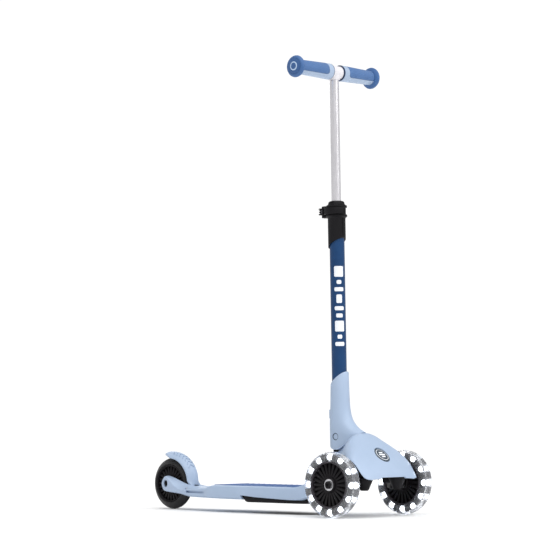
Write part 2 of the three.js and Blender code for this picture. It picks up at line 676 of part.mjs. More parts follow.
// ---------------------------------------------------------------- stem housing and fold
const pinLocal = [stem.pinX - stem.axisX, 0, 0];
const flareFront = [[-12.9, seamZ(-12.9)], [-17, 155.4], [-25, 160.4], [-33, 166.6], [-42.6, 177], [-48,
  190], [-51, 206]];
const touch = -90 + stem.seamSlope;
const flareSide = [
  ...arc([stem.pinX, stem.pinZ], stem.seamRadius, -176, touch, 10),
  ...flareFront.map(([x, z]) => [x, z]),
  [-60, 206], [-86, 190], [-87.6, 168],
];
const flarePlan = mirrored([[-90, 8], [-86, 16], [-78, housing.half], [-52, housing.half], [-36, 17], [-22,
  13.4], [-14, 9],
  [-11, 3]]);
const turnIn = (piece) => piece.translate(-stem.axisX, 0, -stem.pinZ).rotate([0, stem.lean, 0]);
const flare = turnIn(slabY(flareSide, -CUT, CUT).intersect(slabZ(flarePlan, 100, 206)));
const columnBody = rod('z', housing.baseRadius, 12, housing.top + 20, [0, 0, 0], housing.topRadius, 36);
const slantCut = (z, degrees, keepBelow) => {
  const cutter = new THREE.BoxGeometry(CUT, CUT, CUT).translate(0, 0, keepBelow ? CUT / 2 : -CUT / 2);
  return solid(cutter.rotateY(-rad(degrees)).translate(0, 0, z));
};
const tongueSlot = turnIn(
  box(stem.pinX - 60, stem.pinX + stem.tongueRadius + RUN, -stem.tongueHalf - RUN, stem.tongueHalf + RUN, 90,
    stem.pinZ + stem.tongueRadius + RUN),
);
const latchTop = housing.tubeSeat - 4;
const latchBottom = stem.tongueRadius - 2;
const seat = lowerTube.radius + GAP;
const buttonWindow = box(-CUT, 0, -button.half - GAP, button.half + GAP, button.z - button.height / 2 - GAP,
  button.z + button.height / 2 + GAP);
const screwZ = housing.tubeSeat + 15;
const headSeat = lowerTube.radius + 1.4;
const housingScrewBore = rod('x', screw.radius + GAP, -CUT, 0, [0, 0, screwZ], undefined, 12);
add(
  column,
  'stem_housing',
  cut(
    join(columnBody, flare),
    slantCut(housing.top, housing.slant, true),
    tongueSlot,
    rod('y', stem.pinRadius + GAP, -CUT, CUT, pinLocal),
    rod('y', stem.headRadius + GAP, -CUT, -housing.half + 3, pinLocal),
    rod('y', stem.headRadius + GAP, housing.half - 3, CUT, pinLocal),
    rod('z', seat, housing.tubeSeat - GAP, CUT, [0, 0, 0]),
    box(-11, 9, -9, 9, latchBottom, latchTop),
    buttonWindow,
    housingScrewBore,
    rod('x', 3.4 + GAP, -CUT, -headSeat, [0, 0, screwZ], undefined, 16),
  ),
  finish.shell,
);
const pinHalf = housing.half - 1;
add(
  scooter,
  'fold_pin',
  join(
    rod('y', stem.pinRadius, -pinHalf + 1, pinHalf - 1, pinAt, stem.pinRadius, 24),
    rod('y', stem.headRadius, -pinHalf, -pinHalf + 1.8, pinAt, stem.headRadius, 24),
  ),
  finish.alloy,
);
const lowerTubeSolid = tube('z', lowerTube.radius, lowerTube.radius - lowerTube.wall, housing.tubeSeat,
  lowerTube.top,
  [0, 0, 0], 28);
add(column, 'lower_tube', cut(lowerTubeSolid, housingScrewBore), finish.navy);

const wedgeX = 7.8;
const buttonBody = join(
  box(-housing.baseRadius - button.proud, -8.2, -button.half, button.half, button.z - button.height / 2,
    button.z + button.height / 2),
  box(-9, -wedgeX, -3.5, 3.5, button.z - 5, button.z + 5),
);
add(column, 'fold_button', buttonBody, finish.navy);
const plungerFoot = stem.tongueRadius + 1.6;
add(
  column,
  'latch_plunger',
  join(
    rod('z', plunger.radius, plungerFoot, plungerFoot + plunger.length, [2.6, 0, 0], plunger.radius, 20),
    rod('z', 5.4, plungerFoot + 6, plungerFoot + 9, [2.6, 0, 0], 5.4, 20),
  ),
  finish.steel,
);
add(column, 'latch_spring', coil('z', 5.2, 0.8, plungerFoot + 9 + button.travel + 1.4, latchTop - 1.2, 5,
  [2.6, 0, 0]),
  finish.steel);
add(
  column,
  'housing_screw',
  join(
    rod('x', screw.radius, -headSeat - GAP, -lowerTube.radius + lowerTube.wall, [0, 0, screwZ], undefined,
      12),
    rod('x', 3, -headSeat - 1.5, -headSeat - GAP, [0, 0, screwZ], 3.4, 16),
  ),
  finish.zinc,
);

// ---------------------------------------------------------------- height clamp
const lugs = box(clamp.lugX, -12, -clamp.lugHalf, clamp.lugHalf, clamp.collarBottom, clamp.collarTop);
const clampBore = join(
  rod('z', lowerTube.radius + GAP, 0, lowerTube.top + GAP, [0, 0, 0], undefined, 24),
  rod('z', upperTube.radius + GAP, 0, CUT * 3, [0, 0, 0], undefined, 24),
);
const leverZ = [clamp.collarBottom + clamp.flange, clamp.collarTop - clamp.flange];
const leverGroove = tube('z', clamp.flangeRadius + 9, clamp.grooveRadius, ...leverZ, [0, 0, 0], 28);
const clampMiddle = (leverZ[0] + leverZ[1]) / 2;
add(
  column,
  'clamp_body',
  cut(
    join(
      rod('z', clamp.sleeveRadius, clamp.sleeveBottom - 20, clamp.collarBottom + 1, [0, 0, 0], undefined, 24),
      cut(rod('z', clamp.flangeRadius, clamp.collarBottom, clamp.collarTop, [0, 0, 0], undefined, 24),
        leverGroove),
      lugs,
    ),
    clampBore,
    slantCut(clamp.sleeveBottom, 31, false),
    box(clamp.lugX - 1, 0, -clamp.slot / 2, clamp.slot / 2, clamp.collarBottom - 8, CUT * 3),
    rod('y', clamp.boltRadius + GAP, -CUT, CUT, [clamp.pinX, 0, clampMiddle], undefined, 16),
  ),
  finish.black,
);
add(
  column,
  'clamp_top_ring',
  tube('z', clamp.ringRadius, upperTube.radius + GAP, clamp.collarTop + GAP, clamp.ringTop, [0, 0, 0], 32),
  finish.black,
);
const eye = { radius: 3.6, half: 4, swingRoom: 2 };
add(
  column,
  'clamp_draw_bolt',
  cut(
    join(
      rod('y', clamp.boltRadius, clamp.pinY, clamp.lugHalf + 7, [clamp.pinX, 0, clampMiddle], undefined, 16),
      rod('z', eye.radius, clampMiddle - eye.half, clampMiddle + eye.half, [clamp.pinX, clamp.pinY, 0],
        undefined, 16),
    ),
    rod('z', clamp.pinRadius + GAP, 0, CUT * 3, [clamp.pinX, clamp.pinY, 0], undefined, 12),
  ),
  finish.zinc,
);
add(
  column,
  'clamp_nut',
  cut(
    rod('y', 5.4, clamp.lugHalf + GAP, clamp.lugHalf + 5.4, [clamp.pinX, 0, clampMiddle], 5, 12),
    rod('y', clamp.boltRadius + GAP, -CUT, CUT, [clamp.pinX, 0, clampMiddle], undefined, 16),
  ),
  finish.zinc,
);
const leverFace = [leverZ[0] + GAP, leverZ[1] - GAP];
add(
  column,
  'clamp_pin',
  rod('z', clamp.pinRadius, leverFace[0] + 0.4, leverFace[1] - 0.4, [clamp.pinX, clamp.pinY, 0], undefined,
    12),
  finish.steel,
);
const bandInner = clamp.grooveRadius + GAP;
const bandOuter = clamp.flangeRadius + lever.thickness;
const band = slabZ(
  [...arc([0, 0], bandOuter, lever.from, lever.to, 18), ...arc([0, 0], bandInner, lever.to, lever.from, 18)],
  ...leverFace,
);
const knuckleRod = rod('z', lever.knuckle, ...leverFace, [clamp.pinX, clamp.pinY, 0], undefined, 20);
add(
  column,
  'clamp_lever',
  cut(
    join(band, knuckleRod),
    rod('z', clamp.pinRadius + GAP, 0, CUT * 3, [clamp.pinX, clamp.pinY, 0], undefined, 12),
    box(clamp.pinX - CUT, clamp.pinX + eye.radius + GAP, clamp.pinY - eye.radius - eye.swingRoom, CUT,
      clampMiddle - eye.half - GAP,
      clampMiddle + eye.half + GAP),
  ),
  finish.black,
);

// ---------------------------------------------------------------- handlebar
const socket = bar.z - bar.radius - 2 * GAP;
add(column, 'upper_tube', tube('z', upperTube.radius, upperTube.radius - upperTube.wall, upperTube.bottom,
  socket,
  [0, 0, 0], 32), finish.alloy);
const bushRadius = lowerTube.radius - lowerTube.wall - GAP;
add(
  column,
  'guide_bush',
  join(
    rod('z', upperTube.radius - upperTube.wall - GAP, upperTube.bottom - 1, upperTube.bottom + 14, [0, 0, 0]),
    rod('z', bushRadius, upperTube.bottom - 9, upperTube.bottom - GAP, [0, 0, 0]),
  ),
  finish.black,
);
add(
  column,
  'handlebar_tee',
  cut(
    rod('y', tee.radius, -tee.half, tee.half, [0, 0, bar.z], tee.radius, 36),
    rod('y', bar.radius + GAP, -CUT, CUT, [0, 0, bar.z], undefined, 24),
    rod('z', upperTube.radius + GAP, 0, bar.z, [0, 0, 0], undefined, 32),
  ),
  finish.alloy,
);
add(column, 'crossbar', tube('y', bar.radius, bar.radius - bar.wall, -bar.half, bar.half, [0, 0, bar.z],
  24), finish.alloy);

const gripFrom = tee.half + 2 * GAP;
for (const [side, sign] of sides) {
  const r0 = grip.innerRadius;
  const r1 = grip.outerRadius;
  const profile = [[bar.radius + GAP, gripFrom], [r0 - 2, gripFrom], [r0, gripFrom + 2.4], [r1, bar.half],
    [bar.radius + GAP, bar.half], [bar.radius + GAP, gripFrom]];
  const radiusAt = (y) => r0 + ((r1 - r0) * (y - gripFrom)) / (bar.half - gripFrom);
  const padSolid = (from, to, skin, spareDeg, grown) => {
    const outerR = grown ? r0 + 4 : 0;
    const ring = turned('y', [[radiusAt(from) - skin, from], [outerR || radiusAt(from) + 0.3, from],
      [outerR || radiusAt(to) + 0.3, to], [radiusAt(to) - skin, to], [radiusAt(from) - skin, from]], [0, 0,
        0], 28);
    const sector = slabY([[0, 0], ...arc([0, 0], 60, grip.padFromDeg - spareDeg, grip.padToDeg + spareDeg,
      12)], -CUT, CUT);
    return ring.intersect(sector);
  };
  const coreSolid = cut(turned('y', profile, [0, 0, 0], 28), padSolid(grip.padFrom - GAP, bar.half + 1,
    grip.padDepth,
    1.5, true));
  const padPiece = padSolid(grip.padFrom, bar.half - GAP, grip.padDepth - GAP, 0, false);
  add(column, `grip_core_${side}`, mirror(coreSolid, sign).translate(0, 0, bar.z), finish.shell);
  add(column, `grip_pad_${side}`, mirror(padPiece, sign).translate(0, 0, bar.z), finish.grip);
  const y = bar.half + GAP;
  const capProfile = [[0, y], [15, y], [cap.radius, y + 4.4], [19, y + 9], [12, y + 11.6], [0,
    y + cap.length]];
  add(column, `end_cap_${side}`, mirror(turned('y', capProfile, [0, 0, 0], 24), sign).translate(0, 0,
    bar.z), finish.cap);
}

export default scooter;
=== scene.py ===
"""Three-wheeled child's kick scooter: its looks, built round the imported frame.

+X is the way it rides, +Y its left, +Z up. Sizes in the classes are millimetres; meshes are metres.
"""

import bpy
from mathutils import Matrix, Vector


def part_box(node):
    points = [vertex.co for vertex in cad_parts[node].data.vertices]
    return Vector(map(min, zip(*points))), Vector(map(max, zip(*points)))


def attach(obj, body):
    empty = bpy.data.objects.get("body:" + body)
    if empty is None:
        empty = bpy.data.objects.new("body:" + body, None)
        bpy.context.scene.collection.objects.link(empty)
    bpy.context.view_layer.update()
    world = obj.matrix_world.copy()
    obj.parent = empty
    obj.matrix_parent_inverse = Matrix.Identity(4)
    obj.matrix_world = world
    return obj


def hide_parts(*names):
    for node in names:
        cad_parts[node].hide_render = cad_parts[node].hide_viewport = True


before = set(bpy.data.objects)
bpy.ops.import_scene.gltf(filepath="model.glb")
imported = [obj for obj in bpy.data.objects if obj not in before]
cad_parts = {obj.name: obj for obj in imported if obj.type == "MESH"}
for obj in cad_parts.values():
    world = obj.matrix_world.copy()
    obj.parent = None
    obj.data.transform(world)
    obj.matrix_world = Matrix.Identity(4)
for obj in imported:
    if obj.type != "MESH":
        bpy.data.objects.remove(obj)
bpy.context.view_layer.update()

import logging
import math
from dataclasses import dataclass, field
from enum import Enum
from typing import Iterable, Optional, Sequence

import bmesh
import bpy
from mathutils import Matrix, Vector

log = logging.getLogger("scooter")
MM = 0.001
Flat = Sequence[tuple[float, float]]


class Axis(Enum):
    """The direction that a turned or pushed-out shape is made along."""

    X = 0
    Y = 1
    Z = 2

    def point(self, along: float, a: float, b: float) -> Vector:
        """A place in metres from a distance along the axis and two across it, in millimetres.

        Args:
            along: distance along this axis.
            a: first distance across: y for X, x for Y and Z.
            b: second distance across: z for X and Y, y for Z.

        Returns:
            The place in metres.
        """
        order = {Axis.X: (along, a, b), Axis.Y: (a, along, b), Axis.Z: (a, b, along)}
        return Vector(order[self]) * MM


class Side(Enum):
    """The rider's right or left."""

    RIGHT = -1
    LEFT = 1

    @property
    def word(self) -> str:
        """The side's name as the frame spells it."""
        return self.name.lower()


# ---------------------------------------------------------------- bench: making and shaping meshes


def settle() -> None:
    """Leaves edit mode and deselects everything."""
    if bpy.context.object and bpy.context.object.mode != "OBJECT":
        bpy.ops.object.mode_set(mode="OBJECT")
    bpy.ops.object.select_all(action="DESELECT")


def take(piece: bpy.types.Object) -> None:
    """Selects one piece alone and makes it the active one.

    Args:
        piece: the piece to select.
    """
    settle()
    piece.select_set(True)
    bpy.context.view_layer.objects.active = piece


def close_up(piece: bpy.types.Object) -> bpy.types.Object:
    """Merges doubled points and turns all faces outwards.

    Args:
        piece: the piece to close.

    Returns:
        The same piece, back in object mode.
    """
    take(piece)
    bpy.ops.object.mode_set(mode="EDIT")
    bpy.ops.mesh.select_all(action="SELECT")
    bpy.ops.mesh.remove_doubles(threshold=2e-6)
    bpy.ops.mesh.normals_make_consistent(inside=False)
    bpy.ops.object.mode_set(mode="OBJECT")
    return piece


def chain(name: str, points: Sequence[Vector]) -> bpy.types.Object:
    """Draws a line by extruding one vertex from point to point, and stays in edit mode.

    Args:
        name: name of the new piece.
        points: places in metres.

    Returns:
        The new piece, all of it selected.
    """
    settle()
    bpy.ops.mesh.primitive_plane_add(size=MM, location=points[0])
    piece = bpy.context.object
    piece.name = piece.data.name = name
    bpy.ops.object.transform_apply(location=True)
    bpy.ops.object.mode_set(mode="EDIT")
    bpy.ops.mesh.select_all(action="SELECT")
    bpy.ops.mesh.merge(type="CENTER")
    for here, there in zip(points, points[1:]):
        bpy.ops.mesh.extrude_region_move(TRANSFORM_OT_translate={"value": there - here})
    bpy.ops.mesh.select_all(action="SELECT")
    return piece


def turned(name: str, profile: Flat, axis: Axis = Axis.Y, steps: int = 72) -> bpy.types.Object:
    """Spins a closed profile about an axis through the origin.

    Args:
        name: name of the new piece.
        profile: (radius, place along the axis) points; one that starts and ends on the axis is closed there.
        axis: the axis it turns about.
        steps: how many steps make the full turn.

    Returns:
        The new solid.
    """
    loop = list(profile)
    if loop[0][0] > 0 or loop[-1][0] > 0:
        loop.append(loop[0])
    piece = chain(name, [axis.point(along, radius, 0) for radius, along in loop])
    bpy.ops.mesh.spin(
        steps=steps, angle=2 * math.pi, center=(0, 0, 0), axis=axis.point(1, 0, 0).normalized()
    )
    return close_up(piece)


def slab(name: str, outline: Flat, low: float, high: float, axis: Axis = Axis.Y) -> bpy.types.Object:
    """Fills an outline and extrudes it along an axis.

    Args:
        name: name of the new piece.
        outline: points across the axis, in the order of Axis.point.
        low: where it starts along the axis.
        high: where it ends.
        axis: the axis it is pushed out along.

    Returns:
        The new solid.
    """
    piece = chain(name, [axis.point(low, a, b) for a, b in outline])
    bpy.ops.mesh.edge_face_add()
    bpy.ops.mesh.extrude_region_move(TRANSFORM_OT_translate={"value": axis.point(high - low, 0, 0)})
    return close_up(piece)


def lofted(name: str, rings: Sequence[Sequence[Vector]]) -> bpy.types.Object:
    """Extrudes a filled ring from station to station, setting each ring's points as it goes.

    Args:
        name: name of the new piece.
        rings: closed rings of equally many points, in metres.

    Returns:
        The new solid, closed at both ends.
    """
    settle()
    bpy.ops.mesh.primitive_circle_add(vertices=len(rings[0]), radius=MM, fill_type="NGON")
    piece = bpy.context.object
    piece.name = piece.data.name = name
    bpy.ops.object.mode_set(mode="EDIT")
    shape = bmesh.from_edit_mesh(piece.data)
    shape.verts.ensure_lookup_table()
    for vertex, place in zip(shape.verts, rings[0]):
        vertex.co = place
    bmesh.update_edit_mesh(piece.data)
    bpy.ops.mesh.select_all(action="SELECT")
    for here, there in zip(rings, rings[1:]):
        spot = {tuple(round(c, 7) for c in place): i for i, place in enumerate(here)}
        bpy.ops.mesh.extrude_region_move(TRANSFORM_OT_translate={"value": (0, 0, 0)})
        shape = bmesh.from_edit_mesh(piece.data)
        for vertex in [v for v in shape.verts if v.select]:
            vertex.co = there[nearest(spot, here, vertex.co)]
        bmesh.update_edit_mesh(piece.data)
    return close_up(piece)


def nearest(spot: dict, ring: Sequence[Vector], place: Vector) -> int:
    """The number of the ring's point that lies at a place.

    Args:
        spot: each point's number, by its place rounded to 7 digits.
        ring: the points to look through.
        place: the place to look for, in metres.

    Returns:
        The number of the point there, or else of the closest.
    """
    found = spot.get(tuple(round(c, 7) for c in place))
    if found is not None:
        return found
    return min(range(len(ring)), key=lambda i: (ring[i] - place).length_squared)


def rod(name: str, axis: Axis, radius: float, low: float, high: float, at: tuple[float, float] = (0, 0),
        sides: int = 48) -> bpy.types.Object:
    """A plain cylinder, used as a start or as a cutter.

    Args:
        name: name of the new piece.
        axis: its direction.
        radius: its radius.
        low: where it starts along the axis.
        high: where it ends.
        at: its middle across the axis, in the order of Axis.point.
        sides: how many sides it has.

    Returns:
        The new solid.
    """
    settle()
    turn = {Axis.X: (0, math.pi / 2, 0), Axis.Y: (math.pi / 2, 0, 0), Axis.Z: (0, 0, 0)}[axis]
    bpy.ops.mesh.primitive_cylinder_add(
        vertices=sides, radius=radius * MM, depth=(high - low) * MM,
        location=axis.point((low + high) / 2, *at), rotation=turn,
    )
    piece = bpy.context.object
    piece.name = piece.data.name = name
    bpy.ops.object.transform_apply(location=True, rotation=True, scale=True)
    return piece


def block(name: str, low: tuple[float, float, float], high: tuple[float, float, float]) -> bpy.types.Object:
    """A plain box between two corners, used as a start or as a cutter."""
    return slab(name, [(low[0], low[1]), (high[0], low[1]), (high[0], high[1]), (low[0], high[1])], low[2],
                high[2],
                Axis.Z)


def applied(piece: bpy.types.Object, kind: str, **settings: object) -> bpy.types.Object:
    """Adds a modifier with its settings and applies it.

    Args:
        piece: the piece to shape.
        kind: the modifier's type.
        **settings: the modifier's settings and their values.

    Returns:
        The same piece.
    """
    take(piece)
    modifier = piece.modifiers.new(kind.lower(), kind)
    for key, value in settings.items():
        setattr(modifier, key, value)
    bpy.ops.object.modifier_apply(modifier=modifier.name)
    return piece


def carve(piece: bpy.types.Object, *cutters: bpy.types.Object, how: str = "DIFFERENCE") -> bpy.types.Object:
    """Takes cutters out of a piece, or joins or intersects with them, and removes them.

    Args:
        piece: the piece that is kept.
        cutters: the solids that are used up.
        how: DIFFERENCE, UNION or INTERSECT.

    Returns:
        The carved piece.
    """
    for cutter in cutters:
        applied(piece, "BOOLEAN", operation=how, object=cutter, solver="EXACT")
        bpy.data.objects.remove(cutter)
    return close_up(piece)


def rounded(piece: bpy.types.Object, width: float, segments: int = 2,
            angle: float = 35) -> bpy.types.Object:
    """Rounds every edge sharper than an angle.

    Args:
        piece: the piece to round.
        width: width of the round.
        segments: how many strips make it.
        angle: edges turning by more than this many degrees are rounded.

    Returns:
        The same piece.
    """
    return applied(piece, "BEVEL", width=width * MM, segments=segments, limit_method="ANGLE",
                   angle_limit=math.radians(angle), use_clamp_overlap=True)


def joined(name: str, pieces: Sequence[bpy.types.Object]) -> bpy.types.Object:
    """Joins several pieces into the first of them under a new name.

    Args:
        name: the new name.
        pieces: the pieces; the first one takes in the others.

    Returns:
        The joined piece.
    """
    settle()
    for piece in pieces:
        piece.select_set(True)
    bpy.context.view_layer.objects.active = pieces[0]
    bpy.ops.object.join()
    pieces[0].name = pieces[0].data.name = name
    return pieces[0]


def copied(piece: bpy.types.Object, name: str, matrix: Matrix) -> bpy.types.Object:
    """A copy with its own mesh, moved by a matrix and turned right side out if it was mirrored.

    Args:
        piece: the piece to copy.
        name: the copy's name.
        matrix: where it goes.

    Returns:
        The copy.
    """
    twin = piece.copy()
    twin.data = piece.data.copy()
    twin.name = twin.data.name = name
    bpy.context.scene.collection.objects.link(twin)
    twin.data.transform(matrix)
    if matrix.determinant() < 0:
        twin.data.flip_normals()
    return twin


def ringed(piece: bpy.types.Object, count: int, axis: Axis = Axis.Y,
           start: float = 0.0) -> bpy.types.Object:
    """Repeats a piece evenly round an axis and joins the copies.

    Args:
        piece: the first one.
        count: how many there are in the full turn.
        axis: the axis they stand round.
        start: degrees that the whole set is turned by.

    Returns:
        One piece that holds them all.
    """
    twins = [
        copied(piece, f"{piece.name}_{i}", Matrix.Rotation(math.radians(start + 360 * i / count), 4,
                                                           axis.name))
        for i in range(1, count)
    ]
    piece.data.transform(Matrix.Rotation(math.radians(start), 4, axis.name))
    return joined(piece.name, [piece, *twins])


def arc(middle: tuple[float, float], radius: float, first: float, last: float, steps: int) -> list:
    """Points of an arc; degrees run from the first coordinate towards the second."""
    turns = [math.radians(first + (last - first) * i / steps) for i in range(steps + 1)]
    return [(middle[0] + radius * math.cos(t), middle[1] + radius * math.sin(t)) for t in turns]


def read_off(points: Flat, x: float) -> float:
    """The value at x of a smooth curve that passes through (x, value) points without overshooting.

    Args:
        points: (x, value) points, in order of x.
        x: where to read.

    Returns:
        The value there, level beyond both ends.
    """
    if x <= points[0][0]:
        return points[0][1]
    if x >= points[-1][0]:
        return points[-1][1]
    i = max(k for k in range(len(points) - 1) if points[k][0] <= x)
    steps = [(points[k + 1][1] - points[k][1]) / (points[k + 1][0] - points[k][0])
             for k in range(len(points) - 1)]

    def slope(k: int) -> float:
        """Slope of the curve at a point, level where it turns back.

        Args:
            k: the point's number.

        Returns:
            The slope there.
        """
        if k == 0 or k == len(points) - 1:
            return steps[min(k, len(steps) - 1)]
        before, after = steps[k - 1], steps[k]
        return 0.0 if before * after <= 0 else 2 * before * after / (before + after)

    (x0, y0), (x1, y1) = points[i], points[i + 1]
    width = x1 - x0
    t = (x - x0) / width
    return ((2 * t ** 3 - 3 * t * t + 1) * y0 + (t ** 3 - 2 * t * t + t) * width * slope(i)
            + (3 * t * t - 2 * t ** 3) * y1 + (t ** 3 - t * t) * width * slope(i + 1))


def both(halves: Flat) -> list:
    """A closed outline from (x, half width) points, from back to front."""
    return [*halves, *[(x, -y) for x, y in reversed(halves)]]


# ---------------------------------------------------------------- finishes


def linear(code: str) -> tuple[float, float, float, float]:
    """A colour's linear values from its six-figure screen code."""
    parts = [int(code[i:i + 2], 16) / 255 for i in (0, 2, 4)]
    return (*[c / 12.92 if c <= 0.04045 else ((c + 0.055) / 1.055) ** 2.4 for c in parts], 1.0)


class Graph:
    """A material's node tree, with short ways to add what the finishes share."""

    def __init__(self, name: str) -> None:
        """Starts a material under a name.

        Args:
            name: the material's name.
        """
        self.material = bpy.data.materials.new(name)
        self.material.use_nodes = True
        self.tree = self.material.node_tree
        self.shader = self.tree.nodes["Principled BSDF"]
        self.place = self.tree.nodes.new("ShaderNodeTexCoord").outputs["Object"]

    def add(self, kind: str, **settings: object) -> bpy.types.Node:
        """Adds a node and sets its properties.

        Args:
            kind: the node's type.
            **settings: its properties and their values.

        Returns:
            The new node.
        """
        node = self.tree.nodes.new(kind)
        for key, value in settings.items():
            setattr(node, key, value)
        return node

    def link(self, out: bpy.types.NodeSocket, into: bpy.types.NodeSocket) -> None:
        """Joins two sockets."""
        self.tree.links.new(out, into)

    def noise(self, scale: float, detail: float = 3.0,
              stretch: Optional[Sequence[float]] = None) -> bpy.types.NodeSocket:
        """A noise value over the surface.

        Args:
            scale: how fine it is, per metre.
            detail: how many finer layers it has.
            stretch: scale along each axis, for brushed or drawn marks.

        Returns:
            The value's socket.
        """
        node = self.add("ShaderNodeTexNoise")
        node.inputs["Scale"].default_value = scale
        node.inputs["Detail"].default_value = detail
        if stretch:
            mapping = self.add("ShaderNodeMapping")
            mapping.inputs["Scale"].default_value = stretch
            self.link(self.place, mapping.inputs["Vector"])
            self.link(mapping.outputs["Vector"], node.inputs["Vector"])
        else:
            self.link(self.place, node.inputs["Vector"])
        return node.outputs["Fac"]

    def span(self, value: bpy.types.NodeSocket, low: float, high: float, from_low: float = 0.3,
             from_high: float = 0.7) -> bpy.types.NodeSocket:
        """A value moved from one range to another, held inside it.

        Args:
            value: the value, as a socket.
            low: where the new range starts.
            high: where it ends.
            from_low: where the old range starts.
            from_high: where it ends.

        Returns:
            The new value.
        """
        node = self.add("ShaderNodeMapRange")
        for key, number in (("From Min", from_low), ("From Max", from_high), ("To Min", low),
                            ("To Max", high)):
            node.inputs[key].default_value = number
        self.link(value, node.inputs["Value"])
        return node.outputs["Result"]

    def blend(self, value: bpy.types.NodeSocket, first: str, second: str) -> bpy.types.NodeSocket:
        """A colour between two, by a value.

        Args:
            value: how far it lies from the first to the second, 0 to 1.
            first: first colour, six hex digits.
            second: second colour, six hex digits.

        Returns:
            The colour.
        """
        node = self.add("ShaderNodeMix", data_type="RGBA")
        node.inputs[6].default_value = linear(first)
        node.inputs[7].default_value = linear(second)
        self.link(value, node.inputs[0])
        return node.outputs[2]

    def emboss(self, value: bpy.types.NodeSocket, strength: float, depth: float) -> None:
        """Raises the surface's shading by a value, depth in millimetres.

        Args:
            value: the height, as a socket.
            strength: how strongly it shades, 0 to 1.
            depth: depth of the relief, in millimetres.
        """
        node = self.add("ShaderNodeBump")
        node.inputs["Strength"].default_value = strength
        node.inputs["Distance"].default_value = depth * MM
        self.link(value, node.inputs["Height"])
        self.link(node.outputs["Normal"], self.shader.inputs["Normal"])

    def set(self, **values: object) -> None:
        """Sets the shader's own sockets; an underscore stands for a space."""
        for key, value in values.items():
            self.shader.inputs[key.replace("_", " ")].default_value = value


_made: dict[str, bpy.types.Material] = {}


@dataclass(frozen=True)
class Finish:
    """What every finish has: a name, a slot name that is not used, and a colour with its slightly different
    second.
    """

    name: str
    slot: str
    colour: str
    second: str

    def material(self) -> bpy.types.Material:
        """The finish's material, made once."""
        if self.name not in _made:
            graph = Graph(self.name)
            self.dress(graph)
            _made[self.name] = graph.material
        return _made[self.name]

    def dress(self, graph: Graph) -> None:
        """Builds the node tree."""
        raise NotImplementedError


@dataclass(frozen=True)
class MouldedPlastic(Finish):
    """Injection-moulded plastic: faint mottling, a fine spark-eroded grain and soft gloss."""

    roughness: float = 0.42
    grain: float = 900.0
    depth: float = 0.03
    gloss: float = 0.45

    def dress(self, graph: Graph) -> None:
        """Mottled colour, uneven gloss and a fine grain.

        Args:
            graph: the material that is being dressed.
        """
        graph.link(graph.blend(graph.span(graph.noise(18, 4), 0, 1), self.colour, self.second),
                   graph.shader.inputs["Base Color"])
        graph.link(graph.span(graph.noise(45, 5), self.roughness - 0.05, self.roughness + 0.07),
                   graph.shader.inputs["Roughness"])
        graph.emboss(graph.noise(self.grain, 2), 0.25, self.depth)
        graph.set(Specular_IOR_Level=self.gloss)


@dataclass(frozen=True)
class SprayedTube(Finish):
    """Powder-sprayed metal: even colour, a soft orange peel and a clear top."""

    roughness: float = 0.34

    def dress(self, graph: Graph) -> None:
        """Orange-peel bump under a thin coat.

        Args:
            graph: the material that is being dressed.
        """
        graph.link(graph.blend(graph.span(graph.noise(30, 3), 0, 1), self.colour, self.second),
                   graph.shader.inputs["Base Color"])
        graph.link(graph.span(graph.noise(120, 3), self.roughness - 0.05, self.roughness + 0.06),
                   graph.shader.inputs["Roughness"])
        graph.emboss(graph.noise(380, 2), 0.22, 0.05)
        graph.set(Coat_Weight=0.12, Coat_Roughness=0.15, Specular_IOR_Level=0.3)


@dataclass(frozen=True)
class SoftRubber(Finish):
    """Soft moulded rubber: matt, with a pebbled skin and a faint bloom."""

    roughness: float = 0.62
    pebble: float = 700.0
    depth: float = 0.08

    def dress(self, graph: Graph) -> None:
        """Pebbles from a cell pattern, and bloom in the colour.

        Args:
            graph: the material that is being dressed.
        """
        graph.link(graph.blend(graph.span(graph.noise(35, 4), 0, 1), self.colour, self.second),
                   graph.shader.inputs["Base Color"])
        graph.link(graph.span(graph.noise(60, 4), self.roughness - 0.06, self.roughness + 0.08),
                   graph.shader.inputs["Roughness"])
        cells = graph.add("ShaderNodeTexVoronoi", feature="F1")
        cells.inputs["Scale"].default_value = self.pebble
        graph.link(graph.place, cells.inputs["Vector"])
        graph.emboss(cells.outputs["Distance"], 0.3, self.depth)
        graph.set(Sheen_Weight=0.12, Sheen_Roughness=0.5)


@dataclass(frozen=True)
class BrushedMetal(Finish):
    """Drawn or turned metal with fine marks along one axis."""

    roughness: float = 0.3
    along: Axis = Axis.Z

    def dress(self, graph: Graph) -> None:
        """Long marks in gloss and height.

        Args:
            graph: the material that is being dressed.
        """
        stretch = [1.0, 1.0, 1.0]
        stretch[self.along.value] = 0.02
        marks = graph.noise(1400, 3, stretch)
        graph.link(graph.blend(graph.span(marks, 0, 1), self.colour, self.second),
                   graph.shader.inputs["Base Color"])
        graph.link(graph.span(marks, self.roughness - 0.08, self.roughness + 0.1),
                   graph.shader.inputs["Roughness"])
        graph.emboss(marks, 0.08, 0.02)
        graph.set(Metallic=1.0)


@dataclass(frozen=True)
class ClearCast(Finish):
    """Clear cast polyurethane, a little milky, as light-up wheels have."""

    roughness: float = 0.05

    def dress(self, graph: Graph) -> None:
        """See-through body with soft flow marks."""
        graph.link(graph.span(graph.noise(25, 2), self.roughness - 0.02, self.roughness + 0.03),
                   graph.shader.inputs["Roughness"])
        graph.set(Base_Color=linear(self.colour), Transmission_Weight=0.92, IOR=1.3)


